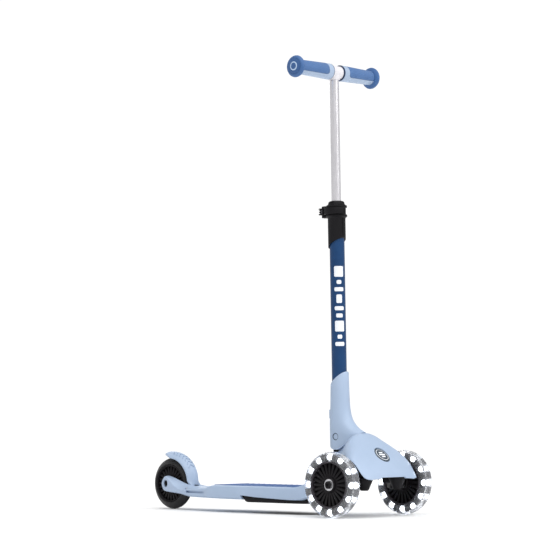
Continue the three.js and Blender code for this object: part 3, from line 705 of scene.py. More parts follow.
@dataclass(frozen=True)
class SmokedBlocks(Finish):
    """Dark smoked lamp blocks, with painted light that pales them towards the tread."""

    centre: tuple[float, float] = (0.24225, 0.06)
    dark_to: float = 0.0478
    pale_from: float = 0.0585

    def dress(self, graph: Graph) -> None:
        """A colour that follows the distance from the axle: the blocks' own dark colour inside, painted light
        paling them towards the tread.

        Args:
            graph: the material that is being dressed.
        """
        flat = graph.add("ShaderNodeMapping")
        flat.inputs["Scale"].default_value = (1, 0, 1)
        flat.inputs["Location"].default_value = (-self.centre[0], 0, -self.centre[1])
        graph.link(graph.place, flat.inputs["Vector"])
        length = graph.add("ShaderNodeVectorMath", operation="LENGTH")
        graph.link(flat.outputs["Vector"], length.inputs[0])
        # painted light: the fade from the dark colour to pale grey towards the tread
        painted_light_fade = graph.span(length.outputs["Value"], 0, 1, self.dark_to, self.pale_from)
        graph.link(graph.blend(painted_light_fade, self.colour, self.second), graph.shader.inputs["Base Color"])
        graph.link(graph.span(graph.noise(60, 3), 0.35, 0.5), graph.shader.inputs["Roughness"])
        graph.set(Specular_IOR_Level=0.12)


@dataclass(frozen=True)
class LampGlow(Finish):
    """A lit white lamp."""

    strength: float = 4.0

    def dress(self, graph: Graph) -> None:
        """Emission strength varied a little by a fine noise.

        Args:
            graph: the material that is being dressed.
        """
        glow = graph.span(graph.noise(300, 1), self.strength * 0.85, self.strength * 1.15)
        graph.link(glow, graph.shader.inputs["Emission Strength"])
        graph.set(Base_Color=linear(self.colour), Emission_Color=linear(self.second), Roughness=0.3)


SHELL = MouldedPlastic("moulded_light_blue", "shell_plastic", "ABBDD6", "A4B7D0")
NAVY = SprayedTube("sprayed_deep_blue", "tube_paint", "0C3763", "113E6C")
GRIP = SoftRubber("grip_rubber_blue", "grip_rubber", "446A9F", "4B72A7")
CAP = SoftRubber("cap_rubber_blue", "cap_rubber", "386299", "3F69A2", roughness=0.5)
CAP_FACE = SoftRubber("cap_face_deep_blue", "cap_rubber", "2E5890", "345F98", roughness=0.55)
# painted shade: the dark ring that stands for the shadow in the gap between grip and tee
NAVY_PAINTED_GAP_SHADE = SoftRubber("collar_rubber_navy", "cap_rubber", "1C3557", "213C60", roughness=0.55)
MAT = SoftRubber("mat_rubber_blue", "mat_rubber", "44689F", "4C70A8", roughness=0.6)
NYLON = MouldedPlastic("black_nylon", "black_plastic", "121114", "19181B", roughness=0.5, grain=700,
                       depth=0.06, gloss=0.16)
TREAD = SoftRubber("rear_tyre_rubber", "rear_tyre", "0F0E10", "161517", roughness=0.66)
SPOKES = MouldedPlastic("wheel_core_black", "wheel_core", "131114", "19171A", roughness=0.4, grain=600,
                        depth=0.05, gloss=0.16)
RIM = MouldedPlastic("wheel_rim_grey", "wheel_core", "3F3C41", "49464B", roughness=0.35, grain=600,
                     depth=0.03, gloss=0.16)
CLEAR = ClearCast("clear_cast_tyre", "clear_tyre", "F4F6FA", "F4F6FA")
# dark smoked lamp blocks with painted light paling them towards the tread
SMOKE_WITH_PAINTED_LIGHT = SmokedBlocks("lamp_ring_smoke", "lamp_ring", "0A090A", "5E5C60")
LAMP = LampGlow("lamp_white", "lamp_ring", "FFFFFF", "F6FAFF")
ALLOY = BrushedMetal("drawn_alloy", "alloy", "F2F0F5", "FBF9FD", roughness=0.34)
CAST_ALLOY = MouldedPlastic("pearl_alloy", "alloy", "E3E1E6", "EDEBF0", roughness=0.34, grain=500,
                            depth=0.02)
STEEL = BrushedMetal("turned_steel", "steel", "C8C8CC", "D8D8DC", roughness=0.26, along=Axis.Y)
ZINC = BrushedMetal("zinc_plate", "zinc", "77777C", "8A8A90", roughness=0.4, along=Axis.Y)
BADGE = MouldedPlastic("badge_dark", "badge_plastic", "35434F", "3D4B58", roughness=0.22, grain=300,
                       depth=0.01)
INK = MouldedPlastic("printed_white", "tube_paint", "F2F5FA", "E9EEF6", roughness=0.45, grain=1200,
                     depth=0.01)
BADGE_INK = MouldedPlastic("badge_white", "badge_plastic", "F2F5FA", "E9EEF6", roughness=0.4, grain=1200,
                           depth=0.01)
CAP_INK = MouldedPlastic("cap_pale_blue", "cap_rubber", "C4DAF4", "BCD4F0", roughness=0.5, grain=900,
                         depth=0.01)


# ---------------------------------------------------------------- handing pieces over


def deliver(piece: bpy.types.Object, finish: Finish, body: str, *stands_for: str,
            crease: float = 35.0) -> bpy.types.Object:
    """Dresses a finished piece, hangs it on its body and reports it.

    Args:
        piece: the finished mesh, in the row's frame.
        finish: its finish.
        body: the body it moves with.
        stands_for: the CAD nodes it replaces.
        crease: edges sharper than this many degrees stay sharp in the shading.

    Returns:
        The same piece.
    """
    take(piece)
    bpy.ops.object.shade_smooth_by_angle(angle=math.radians(crease))
    piece.data.materials.clear()
    piece.data.materials.append(finish.material())
    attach(piece, body)
    if stands_for:
        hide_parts(*stands_for)
    shape = bmesh.new()
    shape.from_mesh(piece.data)
    loose = sum(1 for e in shape.edges if not e.is_manifold)
    log.info("%s: %d faces, %d open edges, on %s", piece.name, len(shape.faces), loose, body)
    shape.free()
    return piece


def refinish(finish: Finish, *nodes: str) -> None:
    """Gives CAD nodes that stay a better material."""
    for node in nodes:
        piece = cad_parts[node]
        piece.data.materials.clear()
        piece.data.materials.append(finish.material())


@dataclass(frozen=True)
class Datum:
    """The places that everything is built from, read off the frame, in metres."""

    front_axle: Vector
    rear_axle: Vector
    half_track: float
    fold_pin: Vector
    lean: float = 1.23
    axis_behind_pin: float = 3.6

    @classmethod
    def from_frame(cls) -> "Datum":
        """Reads the axles and the fold pin off the frame's boxes.

        Returns:
            The datum of this frame.
        """
        def middle(node: str) -> Vector:
            """Middle of a node's box."""
            low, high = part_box(node)
            return (low + high) / 2

        front, rear, pin = middle("wheel_left_tyre"), middle("wheel_rear_tyre"), middle("fold_pin")
        return cls(Vector((front.x, 0, front.z)), rear, front.y, Vector((pin.x, 0, pin.z)))

    @property
    def chassis(self) -> Matrix:
        """Moves a mesh made about the front axle's foot into the row's frame."""
        return Matrix.Translation((self.front_axle.x, 0, 0))

    @property
    def column(self) -> Matrix:
        """Moves a mesh made about the stem's own axis, level with the fold pin, into the row's frame."""
        foot = self.fold_pin - Vector((self.axis_behind_pin * MM, 0, 0))
        return Matrix.Translation(foot) @ Matrix.Rotation(-math.radians(self.lean), 4, "Y")


def moved(piece: bpy.types.Object, matrix: Matrix) -> bpy.types.Object:
    """Moves a mesh by a matrix, leaving its object at the origin."""
    piece.data.transform(matrix)
    return piece


MIRROR = Matrix.Scale(-1, 4, (0, 1, 0))


# ---------------------------------------------------------------- wheels


@dataclass
class SpokedCore:
    """The spoked core that front and rear wheels share."""

    rim: float
    half: float = 12.0
    hub: float = 14.6
    spokes: int = 24
    rim_depth: float = 3.6
    race_seat: float = 11.3

    def build(self, name: str) -> tuple[bpy.types.Object, bpy.types.Object]:
        """Builds the core about its axle.

        Args:
            name: what the two pieces are called after.

        Returns:
            The spoked middle with its hub, and the rim.
        """
        inner = self.rim - self.rim_depth
        fin = slab("fin", [(self.hub - 3, -2.6), (self.hub + 1, -2.1), (inner + 1, -2.5), (inner + 1, 2.5),
                           (self.hub + 1, 2.1), (self.hub - 3, 2.6)], -8, 8, Axis.Y)
        rounded(fin, 0.7, 2, 60)
        fins = ringed(fin, self.spokes)
        web = turned("web", [(self.hub - 2, -2), (inner + 0.5, -2), (inner + 0.5, 2), (self.hub - 2, 2)])
        face = self.half
        hub = turned("hub", [(8, -face + 8), (self.race_seat, -face + 8), (self.race_seat, -face + 0.6),
                             (self.race_seat + 0.6, -face), (self.hub - 1, -face), (self.hub, -face + 1.2),
                             (self.hub + 0.6, -7), (self.hub + 0.6, 7), (self.hub, face - 1.2),
                             (self.hub - 1, face),
                             (self.race_seat + 0.6, face), (self.race_seat, face - 0.6),
                             (self.race_seat, face - 8),
                             (8, face - 8)])
        rim = turned(f"{name}_rim", [(inner, -face + 3), (inner + 0.8, -face + 1.2),
                                     (self.rim - 0.8, -face + 1),
                                     (self.rim, -face + 1.8), (self.rim, face - 1.8),
                                     (self.rim - 0.8, face - 1),
                                     (inner + 0.8, face - 1.2), (inner, face - 3)])
        return joined(f"{name}_spokes", [hub, fins, web]), rim


@dataclass
class BallRace:
    """One ball bearing: two races and a shield between them."""

    outer: float = 11.0
    bore: float = 4.0
    near: float = 3.0
    far: float = 10.0

    def build(self, name: str, side: Side) -> bpy.types.Object:
        """Builds one bearing about the axle, on one side of the wheel.

        Args:
            name: the wheel's name.
            side: the side of the wheel it sits in.

        Returns:
            The bearing.
        """
        outer = turned(f"{name}_bearing_{side.word}", [
            (self.outer - 2, self.near), (self.outer - 0.4, self.near), (self.outer, self.near + 0.4),
            (self.outer, self.far - 0.4), (self.outer - 0.4, self.far), (self.outer - 2, self.far)],
            steps=48)
        shield = turned("shield", [(self.bore + 2, self.near + 0.6), (self.outer - 1.8, self.near + 0.6),
                                   (self.outer - 1.8, self.far - 0.6), (self.bore + 2, self.far - 0.6)],
                                   steps=48)
        inner = turned("inner", [(self.bore, self.near), (self.bore + 2.2, self.near),
                                 (self.bore + 2.2, self.far),
                                 (self.bore, self.far)], steps=48)
        race = joined(f"{name}_bearing_{side.word}", [outer, shield, inner])
        return moved(race, MIRROR) and self.turned_out(race) if side is Side.RIGHT else race

    @staticmethod
    def turned_out(piece: bpy.types.Object) -> bpy.types.Object:
        """Turns a mirrored mesh right side out."""
        piece.data.flip_normals()
        return piece


@dataclass
class FrontWheel:
    """A light-up front wheel: clear tyre, lamp ring with its lamps, spoked core and two bearings."""

    datum: Datum
    side: Side
    radius: float = 60.0
    half: float = 12.0
    rim: float = 43.0
    channel: float = 56.0
    channel_half: float = 10.0
    lamps: int = 12

    def build(self) -> None:
        """Builds the wheel and hangs it on its body."""
        name, body = f"wheel_{self.side.word}", f"front_wheel_{self.side.word}"
        place = Matrix.Translation((self.datum.front_axle.x, self.side.value * self.datum.half_track,
                                    self.datum.front_axle.z))
        spokes, rim = SpokedCore(self.rim, self.half).build(name)
        deliver(moved(spokes, place), SPOKES, body, f"{name}_core")
        deliver(moved(rim, place), RIM, body)
        deliver(moved(self.tyre(name), place), CLEAR, body, f"{name}_tyre", crease=50)
        # the lamp ring's blocks carry painted light towards the tread
        deliver(moved(self.lamp_ring(name), place), SMOKE_WITH_PAINTED_LIGHT, body, f"{name}_light_ring")
        deliver(moved(self.lenses(name), place), LAMP, body)
        for side in Side:
            deliver(moved(BallRace().build(name, side), place), STEEL, body, f"{name}_bearing_{side.word}")

    def tyre(self, name: str) -> bpy.types.Object:
        """The clear tyre with its crown and the channel inside it.

        Args:
            name: the wheel's name.

        Returns:
            The tyre.
        """
        r, w = self.radius, self.half
        crown = [(self.rim + 0.3, w - 0.8), (self.rim + 1.2, w), (r - 8.5, w), (r - 5, w - 0.9),
                 (r - 2.4, w - 3.2),
                 (r - 0.8, w - 6.6), (r - 0.1, w - 10)]
        profile = [*crown, (r, 0), *[(a, -b) for a, b in reversed(crown)],
                   (self.rim + 0.3, -self.channel_half),
                   (self.channel, -self.channel_half), (self.channel, self.channel_half),
                   (self.rim + 0.3, self.channel_half)]
        return turned(f"{name}_tyre", profile, steps=96)

    def lamp_ring(self, name: str) -> bpy.types.Object:
        """The dark ring under the tyre, with a block between each two lamps; the blocks carry painted light
        towards the tread.

        Args:
            name: the wheel's name.

        Returns:
            The ring with its blocks.
        """
        band = turned(f"{name}_lamp_ring", [(self.rim + 0.5, -7), (self.rim + 2.6, -7),
                                            (self.rim + 3.2, -6),
                                            (self.rim + 3.2, 6), (self.rim + 2.6, 7), (self.rim + 0.5, 7)])
        tooth = slab("tooth", [(self.rim + 0.8, -5.0), (self.rim + 6, -6.2), (self.channel - 1.5, -6.6),
                               (self.channel - 0.4, -4.6), (self.channel - 0.4, 4.6),
                               (self.channel - 1.5, 6.6),
                               (self.rim + 6, 6.2), (self.rim + 0.8, 5.0)], -9.6, 9.6, Axis.Y)
        rounded(tooth, 1.0, 2, 50)
        return joined(f"{name}_lamp_ring", [band, ringed(tooth, self.lamps, start=15)])

    def lenses(self, name: str) -> bpy.types.Object:
        """The lamps, right through the tyre between the blocks, domed at both faces.

        Args:
            name: the wheel's name.

        Returns:
            All the lamps, as one piece.
        """
        end = self.channel_half - 0.5
        lens = turned(f"{name}_lamps", [(0, -end), (1.8, -end + 0.2), (3.6, -end + 1.2), (4.4, -end + 2.8),
                                        (4.4, end - 2.8), (3.6, end - 1.2), (1.8, end - 0.2), (0, end)],
                                        steps=20)
        middle = (self.rim + self.channel) / 2 + 0.2
        moved(lens, Matrix.Translation(Axis.Y.point(0, middle, 0)) @ Matrix.Scale(1.3, 4, (0, 0, 1)))
        return ringed(lens, self.lamps)


@dataclass
class RearWheel:
    """The plain rear wheel: black tyre, spoked core and two bearings."""

    datum: Datum
    radius: float = 50.0
    half: float = 12.0
    rim: float = 37.0

    def build(self) -> None:
        """Builds the wheel and hangs it on its body."""
        place = Matrix.Translation(self.datum.rear_axle)
        spokes, rim = SpokedCore(self.rim, self.half, rim_depth=4.0).build("wheel_rear")
        deliver(moved(spokes, place), SPOKES, "rear_wheel", "wheel_rear_core")
        deliver(moved(rim, place), SPOKES, "rear_wheel")
        deliver(moved(self.tyre(), place), TREAD, "rear_wheel", "wheel_rear_tyre", crease=30)
        for side in Side:
            race = BallRace().build("wheel_rear", side)
            deliver(moved(race, place), STEEL, "rear_wheel", f"wheel_rear_bearing_{side.word}")

    def tyre(self) -> bpy.types.Object:
        """The tyre with its full round tread.

        Returns:
            The tyre.
        """
        r, w = self.radius, self.half
        half = [(self.rim + 0.3, w - 0.9), (r - 12, w - 0.3), (r - 11.2, w - 0.4), (r - 10, w - 1.3),
                (r - 7.6, w - 3),
                (r - 5, w - 4.9), (r - 3, w - 6.8), (r - 1.3, w - 8.7), (r - 0.4, w - 10.4)]
        return turned("wheel_rear_tyre", [*half, (r, 0), *[(a, -b) for a, b in reversed(half)]], steps=96)


# ---------------------------------------------------------------- steering and truck


@dataclass
class Steering:
    """Both steering knuckles with their kingpins and axle bolts, and the tie rod between them."""

    datum: Datum
    king_x: float = 28.0
    king_y: float = 48.0
    boss_foot: float = 8.4
    boss_top: float = 16.4
    bottom: float = 48.5
    seam: float = 71.6
    top: float = 92.0
    axle_z: float = 60.0
    inner_y: float = 66.0
    tie_x: float = 2.0
    head: float = 6.9

    def build(self) -> None:
        """Builds the steering and hangs each side on its body."""
        knuckle, bolt = self.knuckle(), self.bolt()
        for side in Side:
            flip = MIRROR if side is Side.RIGHT else Matrix.Identity(4)
            body = f"steering_{side.word}"
            deliver(copied(knuckle, f"knuckle_{side.word}_casting", self.datum.chassis @ flip), NYLON, body,
                    f"knuckle_{side.word}")
            deliver(copied(bolt, f"axle_bolt_{side.word}_cap", self.datum.chassis @ flip), NYLON, body,
                    f"axle_bolt_{side.word}")
        bpy.data.objects.remove(knuckle)
        bpy.data.objects.remove(bolt)
        refinish(ZINC, "kingpin_right", "kingpin_left")
        refinish(NYLON, "tie_rod")

    def knuckle(self) -> bpy.types.Object:
        """The left knuckle: a tapered kingpin boss, an axle boss, the arm between them and the steering arm.

        Returns:
            The knuckle.
        """
        x, y = self.king_x, self.king_y
        boss = turned("knuckle", [(0, self.bottom), (self.boss_foot - 2, self.bottom),
                                  (self.boss_foot, self.bottom + 2),
                                  (self.boss_top - 1, self.seam - 4), (self.boss_top, self.seam - 2),
                                  (self.boss_top - 1.4, self.seam - 0.4), (0, self.seam - 0.4)], Axis.Z, 48)
        moved(boss, Matrix.Translation(Axis.Z.point(0, x, y)))
        arm = slab("arm", [(x + 2, y + 14), (9, 86), (-9, 86), (-10, 66), (x - 14, y - 2)], self.axle_z - 9,
                   self.seam - 0.8, Axis.Z)
        axle = turned("axle", [(0, self.inner_y), (11, self.inner_y), (13, self.inner_y + 2), (9.6, 90),
                               (9, 93.2),
                               (0, 93.2)], Axis.Y, 48)
        moved(axle, Matrix.Translation((0, 0, self.axle_z * MM)))
        tail = slab("tail", [(x, y + 9), (self.tie_x - 5, y + 5), (self.tie_x - 5, y - 5), (x, y - 9)],
                    60.4,
                    self.seam - 0.8, Axis.Z)
        pin = rod("pin", Axis.Z, 3, self.seam - 5, 79.2, (self.tie_x, y), 24)
        whole = carve(boss, arm, axle, tail, pin, how="UNION")
        return rounded(carve(whole, rod("bore", Axis.Z, 4.3, 54, 90, (x, y))), 0.8, 2, 40)

    def bolt(self) -> bpy.types.Object:
        """The left axle bolt with its socket head.

        Returns:
            The bolt.
        """
        face = self.datum.half_track / MM + 10.3
        bolt = turned("bolt", [(0, self.inner_y + 2), (3.7, self.inner_y + 2), (3.7, face),
                               (self.head - 0.5, face),
                               (self.head, face + 0.5), (self.head, face + 2.2),
                               (self.head - 1, face + 3.4),
                               (0, face + 3.4)], Axis.Y, 48)
        socket = rod("socket", Axis.Y, 3.3, face + 0.9, face + 8, (0, 0), 6)
        return moved(carve(bolt, socket), Matrix.Translation((0, 0, self.axle_z * MM)))


@dataclass
class FrontTruck:
    """The black cross member under the nose, with the fold tongue and the kingpin housings."""

    datum: Datum
    king_x: float = 28.0
    king_y: float = 48.0
    boss: float = 12.0
    pin_x: float = -64.2
    pin_z: float = 145.6
    tongue: float = 15.8
    tongue_half: float = 9.2

    def build(self) -> None:
        """Builds the truck and hangs it on the base."""
        x, y = self.king_x, self.king_y
        tongue = rod("front_truck_casting", Axis.Y, self.tongue, -self.tongue_half, self.tongue_half,
                     (self.pin_x, self.pin_z), 64)
        neck = block("neck", (self.pin_x - 13, -self.tongue_half, 80),
                     (self.pin_x + 13, self.tongue_half, self.pin_z))
        spine = slab("spine", [(-96, 58), (-44, 58), (-32, 79.4), (22, 79.4), (22, 91), (-30, 92),
                               (-52, 104),
                               (-78, 104), (-96, 80)], -13, 13)
        cross = slab("cross", both([(16, y - 2), (24, y + 8), (38, y + 4)]), 79, 91, Axis.Z)
        bosses = [turned(f"boss_{side.word}", [(4.3, 71.9), (self.boss, 71.9), (self.boss + 1, 74),
                                               (self.boss, 90),
                                               (self.boss - 1.4, 92), (4.3, 92)], Axis.Z,
                                               48) for side in Side]
        for side, ring in zip(Side, bosses):
            moved(ring, Matrix.Translation(Axis.Z.point(0, x, side.value * y)))
        bores = [rod("bore", Axis.Z, 4.3, 60, 100, (x, side.value * y)) for side in Side]
        whole = carve(tongue, neck, spine, cross, *bosses, how="UNION")
        carve(whole, *bores, rod("pin", Axis.Y, 4.8, -40, 40, (self.pin_x, self.pin_z)))
        deliver(moved(rounded(whole, 0.8, 2, 40), self.datum.chassis), NYLON, "base", "front_truck")


# ---------------------------------------------------------------- nose and stem housing


@dataclass
class Seam:
    """The fold seam between nose and housing: round the pin behind, sloping up in front."""

    pin: tuple[float, float] = (-64.2, 145.6)
    radius: float = 24.2
    slope: float = 35.5

    def above(self, grown: float) -> bpy.types.Object:
        """Everything above the seam, grown outwards by a gap, as a cutter.

        Args:
            grown: the gap, in millimetres.

        Returns:
            The cutter.
        """
        px, pz = self.pin
        r, lean = self.radius + grown, math.radians(self.slope)
        fx, fz = px + r * math.sin(lean), pz - r * math.cos(lean)
        line = [(fx + 120 * math.cos(lean), fz + 120 * math.sin(lean)), (fx + 120, pz + 200),
                (px - 200, pz + 200),
                (px - 200, pz - grown)]
        return slab("above_seam", [*line, *arc(self.pin, r, -180, self.slope - 90, 28)], -150, 150)


@dataclass
class NoseCover:
    """The moulded cover over the front: a saddle with a ridge, two wings and a rounded lip."""

    datum: Datum
    wall: float = 3.0
    ridge: list = field(default_factory=lambda: [
        (-92, 116), (-72, 119), (-58, 127), (-34, 146), (-12.7, 152.6), (0, 144.5), (18, 128), (30.6, 113),
        (46, 97),
        (56, 82.5), (59.4, 71)])
    spread: list = field(default_factory=lambda: [
        (-92, 23), (-60, 25), (-44, 32), (-30, 46), (-14, 62), (4, 73), (20, 79.5), (34, 79.5), (44, 78.4),
        (50, 76.6),
        (54.5, 73.6), (57.6, 69.5), (59.4, 63)])
    hem: list = field(default_factory=lambda: [
        (-92, 69.3), (-56, 69.3), (-42, 76), (-26, 92), (-8, 103), (8, 106.5), (20, 105), (30, 98),
        (38, 89.5),
        (45, 80.5), (51, 74), (56, 70.6), (59.4, 69.4)])
    badge: tuple[float, float] = (30.6, 112.5)
    badge_radius: float = 17.0
    badge_slope: float = 43.0

    def face(self, x: float, t: float) -> Vector:
        """A place on the cover's face.

        Args:
            x: station, from the front axle.
            t: from -1 at the right edge to 1 at the left.

        Returns:
            The place in metres.
        """
        fall = max(0.0, 1 - abs(t) ** 2.4) ** 0.62
        ahead = min(1.0, max(0.0, (x - 30) / 29.4))
        edge = read_off(self.hem, x)
        z = edge + (read_off(self.ridge, x) - edge) * fall
        return Axis.Z.point(z, x - 1.5 * ahead + 1.5 * (1 - t * t) * ahead, t * read_off(self.spread, x))

    def build(self) -> None:
        """Builds the cover and its badge and hangs them on the base."""
        stations = [*[-92 + 4 * i for i in range(32)], 35, 38, 41, 43.5, 46, 48, 50, 52, 54, 55.5, 57, 58.2,
                    59, 59.4]
        columns = [math.sin(math.radians(-90 + 180 * k / 36)) for k in range(37)]
        cover = chain("nose_cover_shell", [self.face(stations[0], t) for t in columns])
        here = [self.face(stations[0], t) for t in columns]
        for x in stations[1:]:
            there = [self.face(x, t) for t in columns]
            spot = {tuple(round(c, 7) for c in place): i for i, place in enumerate(here)}
            bpy.ops.mesh.extrude_region_move(TRANSFORM_OT_translate={"value": (0, 0, 0)})
            shape = bmesh.from_edit_mesh(cover.data)
            for vertex in [v for v in shape.verts if v.select]:
                vertex.co = there[nearest(spot, here, vertex.co)]
            bmesh.update_edit_mesh(cover.data)
            here = there
        close_up(cover)
        self.face_up(cover)
        applied(cover, "SOLIDIFY", thickness=self.wall * MM, offset=-1.0, use_even_offset=False)
        carve(cover, Seam().above(0.8), block("mouth", (-79, -10.2, 98), (-47, 10.2, 220)),
              block("lip", (48, -34, 60), (90, 34, 72.6)))
        carve(cover, self.on_slope("seat", self.badge_radius + 0.35, -0.5, 8))
        rounded(cover, 0.5, 2, 50)
        deliver(moved(cover, self.datum.chassis), SHELL, "base", "nose_cover", crease=40)
        self.make_badge()

    @staticmethod
    def face_up(cover: bpy.types.Object) -> None:
        """Turns an open sheet so that its faces look up and out.

        Args:
            cover: the sheet.
        """
        shape = bmesh.new()
        shape.from_mesh(cover.data)
        if sum(f.normal.z * f.calc_area() for f in shape.faces) < 0:
            bmesh.ops.reverse_faces(shape, faces=shape.faces[:])
        shape.to_mesh(cover.data)
        shape.free()

    def slope_matrix(self) -> Matrix:
        """Stands a mesh made along +Z on the badge's seat."""
        return (Matrix.Translation(Axis.Z.point(self.badge[1], self.badge[0], 0))
                @ Matrix.Rotation(math.radians(self.badge_slope), 4, "Y"))

    def on_slope(self, name: str, radius: float, low: float, high: float) -> bpy.types.Object:
        """A round cutter that stands on the badge's seat."""
        return moved(rod(name, Axis.Z, radius, low, high, sides=72), self.slope_matrix())

    def make_badge(self) -> None:
        """A domed dark disc with a raised ring and three plain bars."""
        r = self.badge_radius
        disc = turned("nose_badge_disc", [(0, -1.1), (r, -1.1), (r, 0.1), (r - 0.8, 0.6), (r - 3, 0.72),
                                          (9, 0.95),
                                          (4, 1.05), (0, 1.1)], Axis.Z, 72)
        deliver(moved(disc, self.datum.chassis @ self.slope_matrix()), BADGE, "base", "nose_badge",
                crease=25)
        hoop = turned("hoop", [(r - 4.4, 0.5), (r - 3.4, 0.5), (r - 3.4, 0.95), (r - 4.4, 1.15)], Axis.Z,
                      72)
        bars = [slab("bar", both([(-7 + 5 * i, 1.1), (-3.6 + 5 * i, 1.1)]), 0.6, 1.3,
                     Axis.Z) for i in range(3)]
        for bar, reach in zip(bars, (4.6, 7.4, 4.6)):
            moved(bar, Matrix.Scale(reach, 4, (0, 1, 0)))
            rounded(bar, 0.2, 1, 50)
        mark = joined("nose_badge_mark", [hoop, *bars])
        deliver(moved(mark, self.datum.chassis @ self.slope_matrix()), BADGE_INK, "base")


@dataclass
class StemHousing:
    """The moulded housing that holds the stem and folds about the pin."""

    datum: Datum
    pin: tuple[float, float] = (-64.2, 145.6)
    half: float = 20.0
    top: float = 106.0
    slant: float = 39.0
    tube: float = 14.0
    button_z: float = 42.0
    front: list = field(default_factory=lambda: [
        (112, 6), (150, -4), (153, -9), (156.5, -16.5), (160.4, -24), (166.6, -32.4), (177, -41.6),
        (190, -46.8), (206, -49.6),
        (225, -50.6), (275, -52.8)])
    rear: list = field(default_factory=lambda: [
        (112, -86.4), (150, -87.2), (170, -87.6), (190, -87.2), (206, -86.8), (275, -86.6)])
    width: list = field(default_factory=lambda: [
        (112, 20), (166, 20), (185, 18.9), (206, 17.9), (240, 17), (275, 16.6)])

    def ring(self, z: float, count: int = 64) -> list[Vector]:
        """One level ring of the housing's face.

        Args:
            z: its height above the ground.
            count: how many points it has.

        Returns:
            Its points, in metres.
        """
        front, rear, half = (read_off(t, z) for t in (self.front, self.rear, self.width))
        middle = rear + half if half < (front - rear) / 2 else (front + rear) / 2
        middle = max(middle, rear + half)
        out = []
        for i in range(count):
            turn = 2 * math.pi * i / count
            reach = (front - middle) if math.cos(turn) > 0 else (middle - rear)
            out.append(Axis.Z.point(z, middle + reach * math.cos(turn), half * math.sin(turn)))
        return out

    def build(self) -> None:
        """Builds the housing and hangs it on the stem."""
        levels = [112, 130, 140, 146, 150, 153, 156, 159, 162, 165, 169, 174, 180, 187, 196, 206, 218, 232,
                  248, 275]
        housing = lofted("stem_housing_shell", [self.ring(z) for z in levels])
        self.trim(housing)
        local = self.datum.column.inverted() @ self.datum.chassis
        moved(housing, local)
        self.bore(housing)
        rounded(housing, 0.6, 2, 50)
        deliver(moved(housing, self.datum.column), SHELL, "stem", "stem_housing", crease=40)
        self.button()
        refinish(ZINC, "housing_screw", "latch_spring")
        refinish(STEEL, "latch_plunger")

    def trim(self, housing: bpy.types.Object) -> None:
        """Keeps what lies above the seam and cuts the slot for the tongue."""
        carve(housing, Seam().above(0), how="INTERSECT")
        carve(housing, block("slot", (-125, -9.8, 90), (self.pin[0] + 16.4, 9.8, self.pin[1] + 16.4)))

    def bore(self, housing: bpy.types.Object) -> None:
        """Cuts the slanted top and the room for the tube, the pin, the latch, the button and the screw.

        Args:
            housing: the housing, which is cut.
        """
        slope = math.tan(math.radians(self.slant))
        over = slab("over", [(-60, self.top - 60 * slope), (60, self.top + 60 * slope), (60, 260),
                             (-60, 260)], -60, 60)
        pin = self.pin[0] + 67.8
        cutters = [over, rod("seat", Axis.Z, self.tube + 0.35, 61.7, 200),
                   rod("pin", Axis.Y, 4.8, -60, 60, (pin, 0)),
                   rod("head", Axis.Y, 6.8, -60, -self.half + 3, (pin, 0)),
                   rod("tail", Axis.Y, 6.8, self.half - 3, 60, (pin, 0)),
                   block("cell", (-11, -9, 13.8), (9, 9, 58)),
                   block("window", (-60, -6.8, self.button_z - 8.8), (0, 6.8, self.button_z + 8.8)),
                   rod("screw", Axis.X, 3.7, -60, -15.4, (0, 77), 32)]
        carve(housing, *cutters)

    def button(self) -> None:
        """The fold button, crowned, with three finger ridges."""
        face = -18.4 - 3.2
        z = self.button_z
        press = block("fold_button_cap", (face, -6.5, z - 8.5), (-8.2, 6.5, z + 8.5))
        rounded(press, 1.4, 3, 60)
        ridges = [block("ridge", (face - 0.5, -4.4, z - 4.4 + 4 * i),
                        (face + 1, 4.4, z - 3.6 + 4 * i)) for i in range(3)]
        for ridge in ridges:
            rounded(ridge, 0.3, 2, 60)
        stem = block("wedge", (-9, -3.5, z - 5), (-7.8, 3.5, z + 5))
        button = joined("fold_button_cap", [press, *ridges, stem])
        deliver(moved(button, self.datum.column), SHELL, "release", "fold_button")


@dataclass
class FoldPin:
    """The hinge pin of the stem with its domed head, and a dark ring round the head that is painted shade in
    its recess.
    """

    datum: Datum
    pin: tuple[float, float] = (-64.2, 145.6)

    def build(self) -> None:
        """Builds the pin and the dark ring of painted shade round its head, and hangs them on the base."""
        pin = turned("fold_pin_rivet", [(0, -19), (4.4, -19), (5.2, -18.7), (5.4, -18.2), (5.4, -17.2),
                                        (4.5, -17.2),
                                        (4.5, 18), (0, 18)], Axis.Y, 48)
        place = self.datum.chassis @ Matrix.Translation(Axis.Y.point(0, *self.pin))
        deliver(moved(pin, place), SHELL, "base", "fold_pin")
        # painted shade: a dark ring that stands for the shadow in the recess round the pin's head
        seat = turned("fold_pin_seat", [(5.5, -18.9), (6.7, -18.9), (6.7, -17.4), (5.5, -17.4)], Axis.Y, 48)
        deliver(moved(seat, place), BADGE, "base")


# ---------------------------------------------------------------- deck, mat, beam


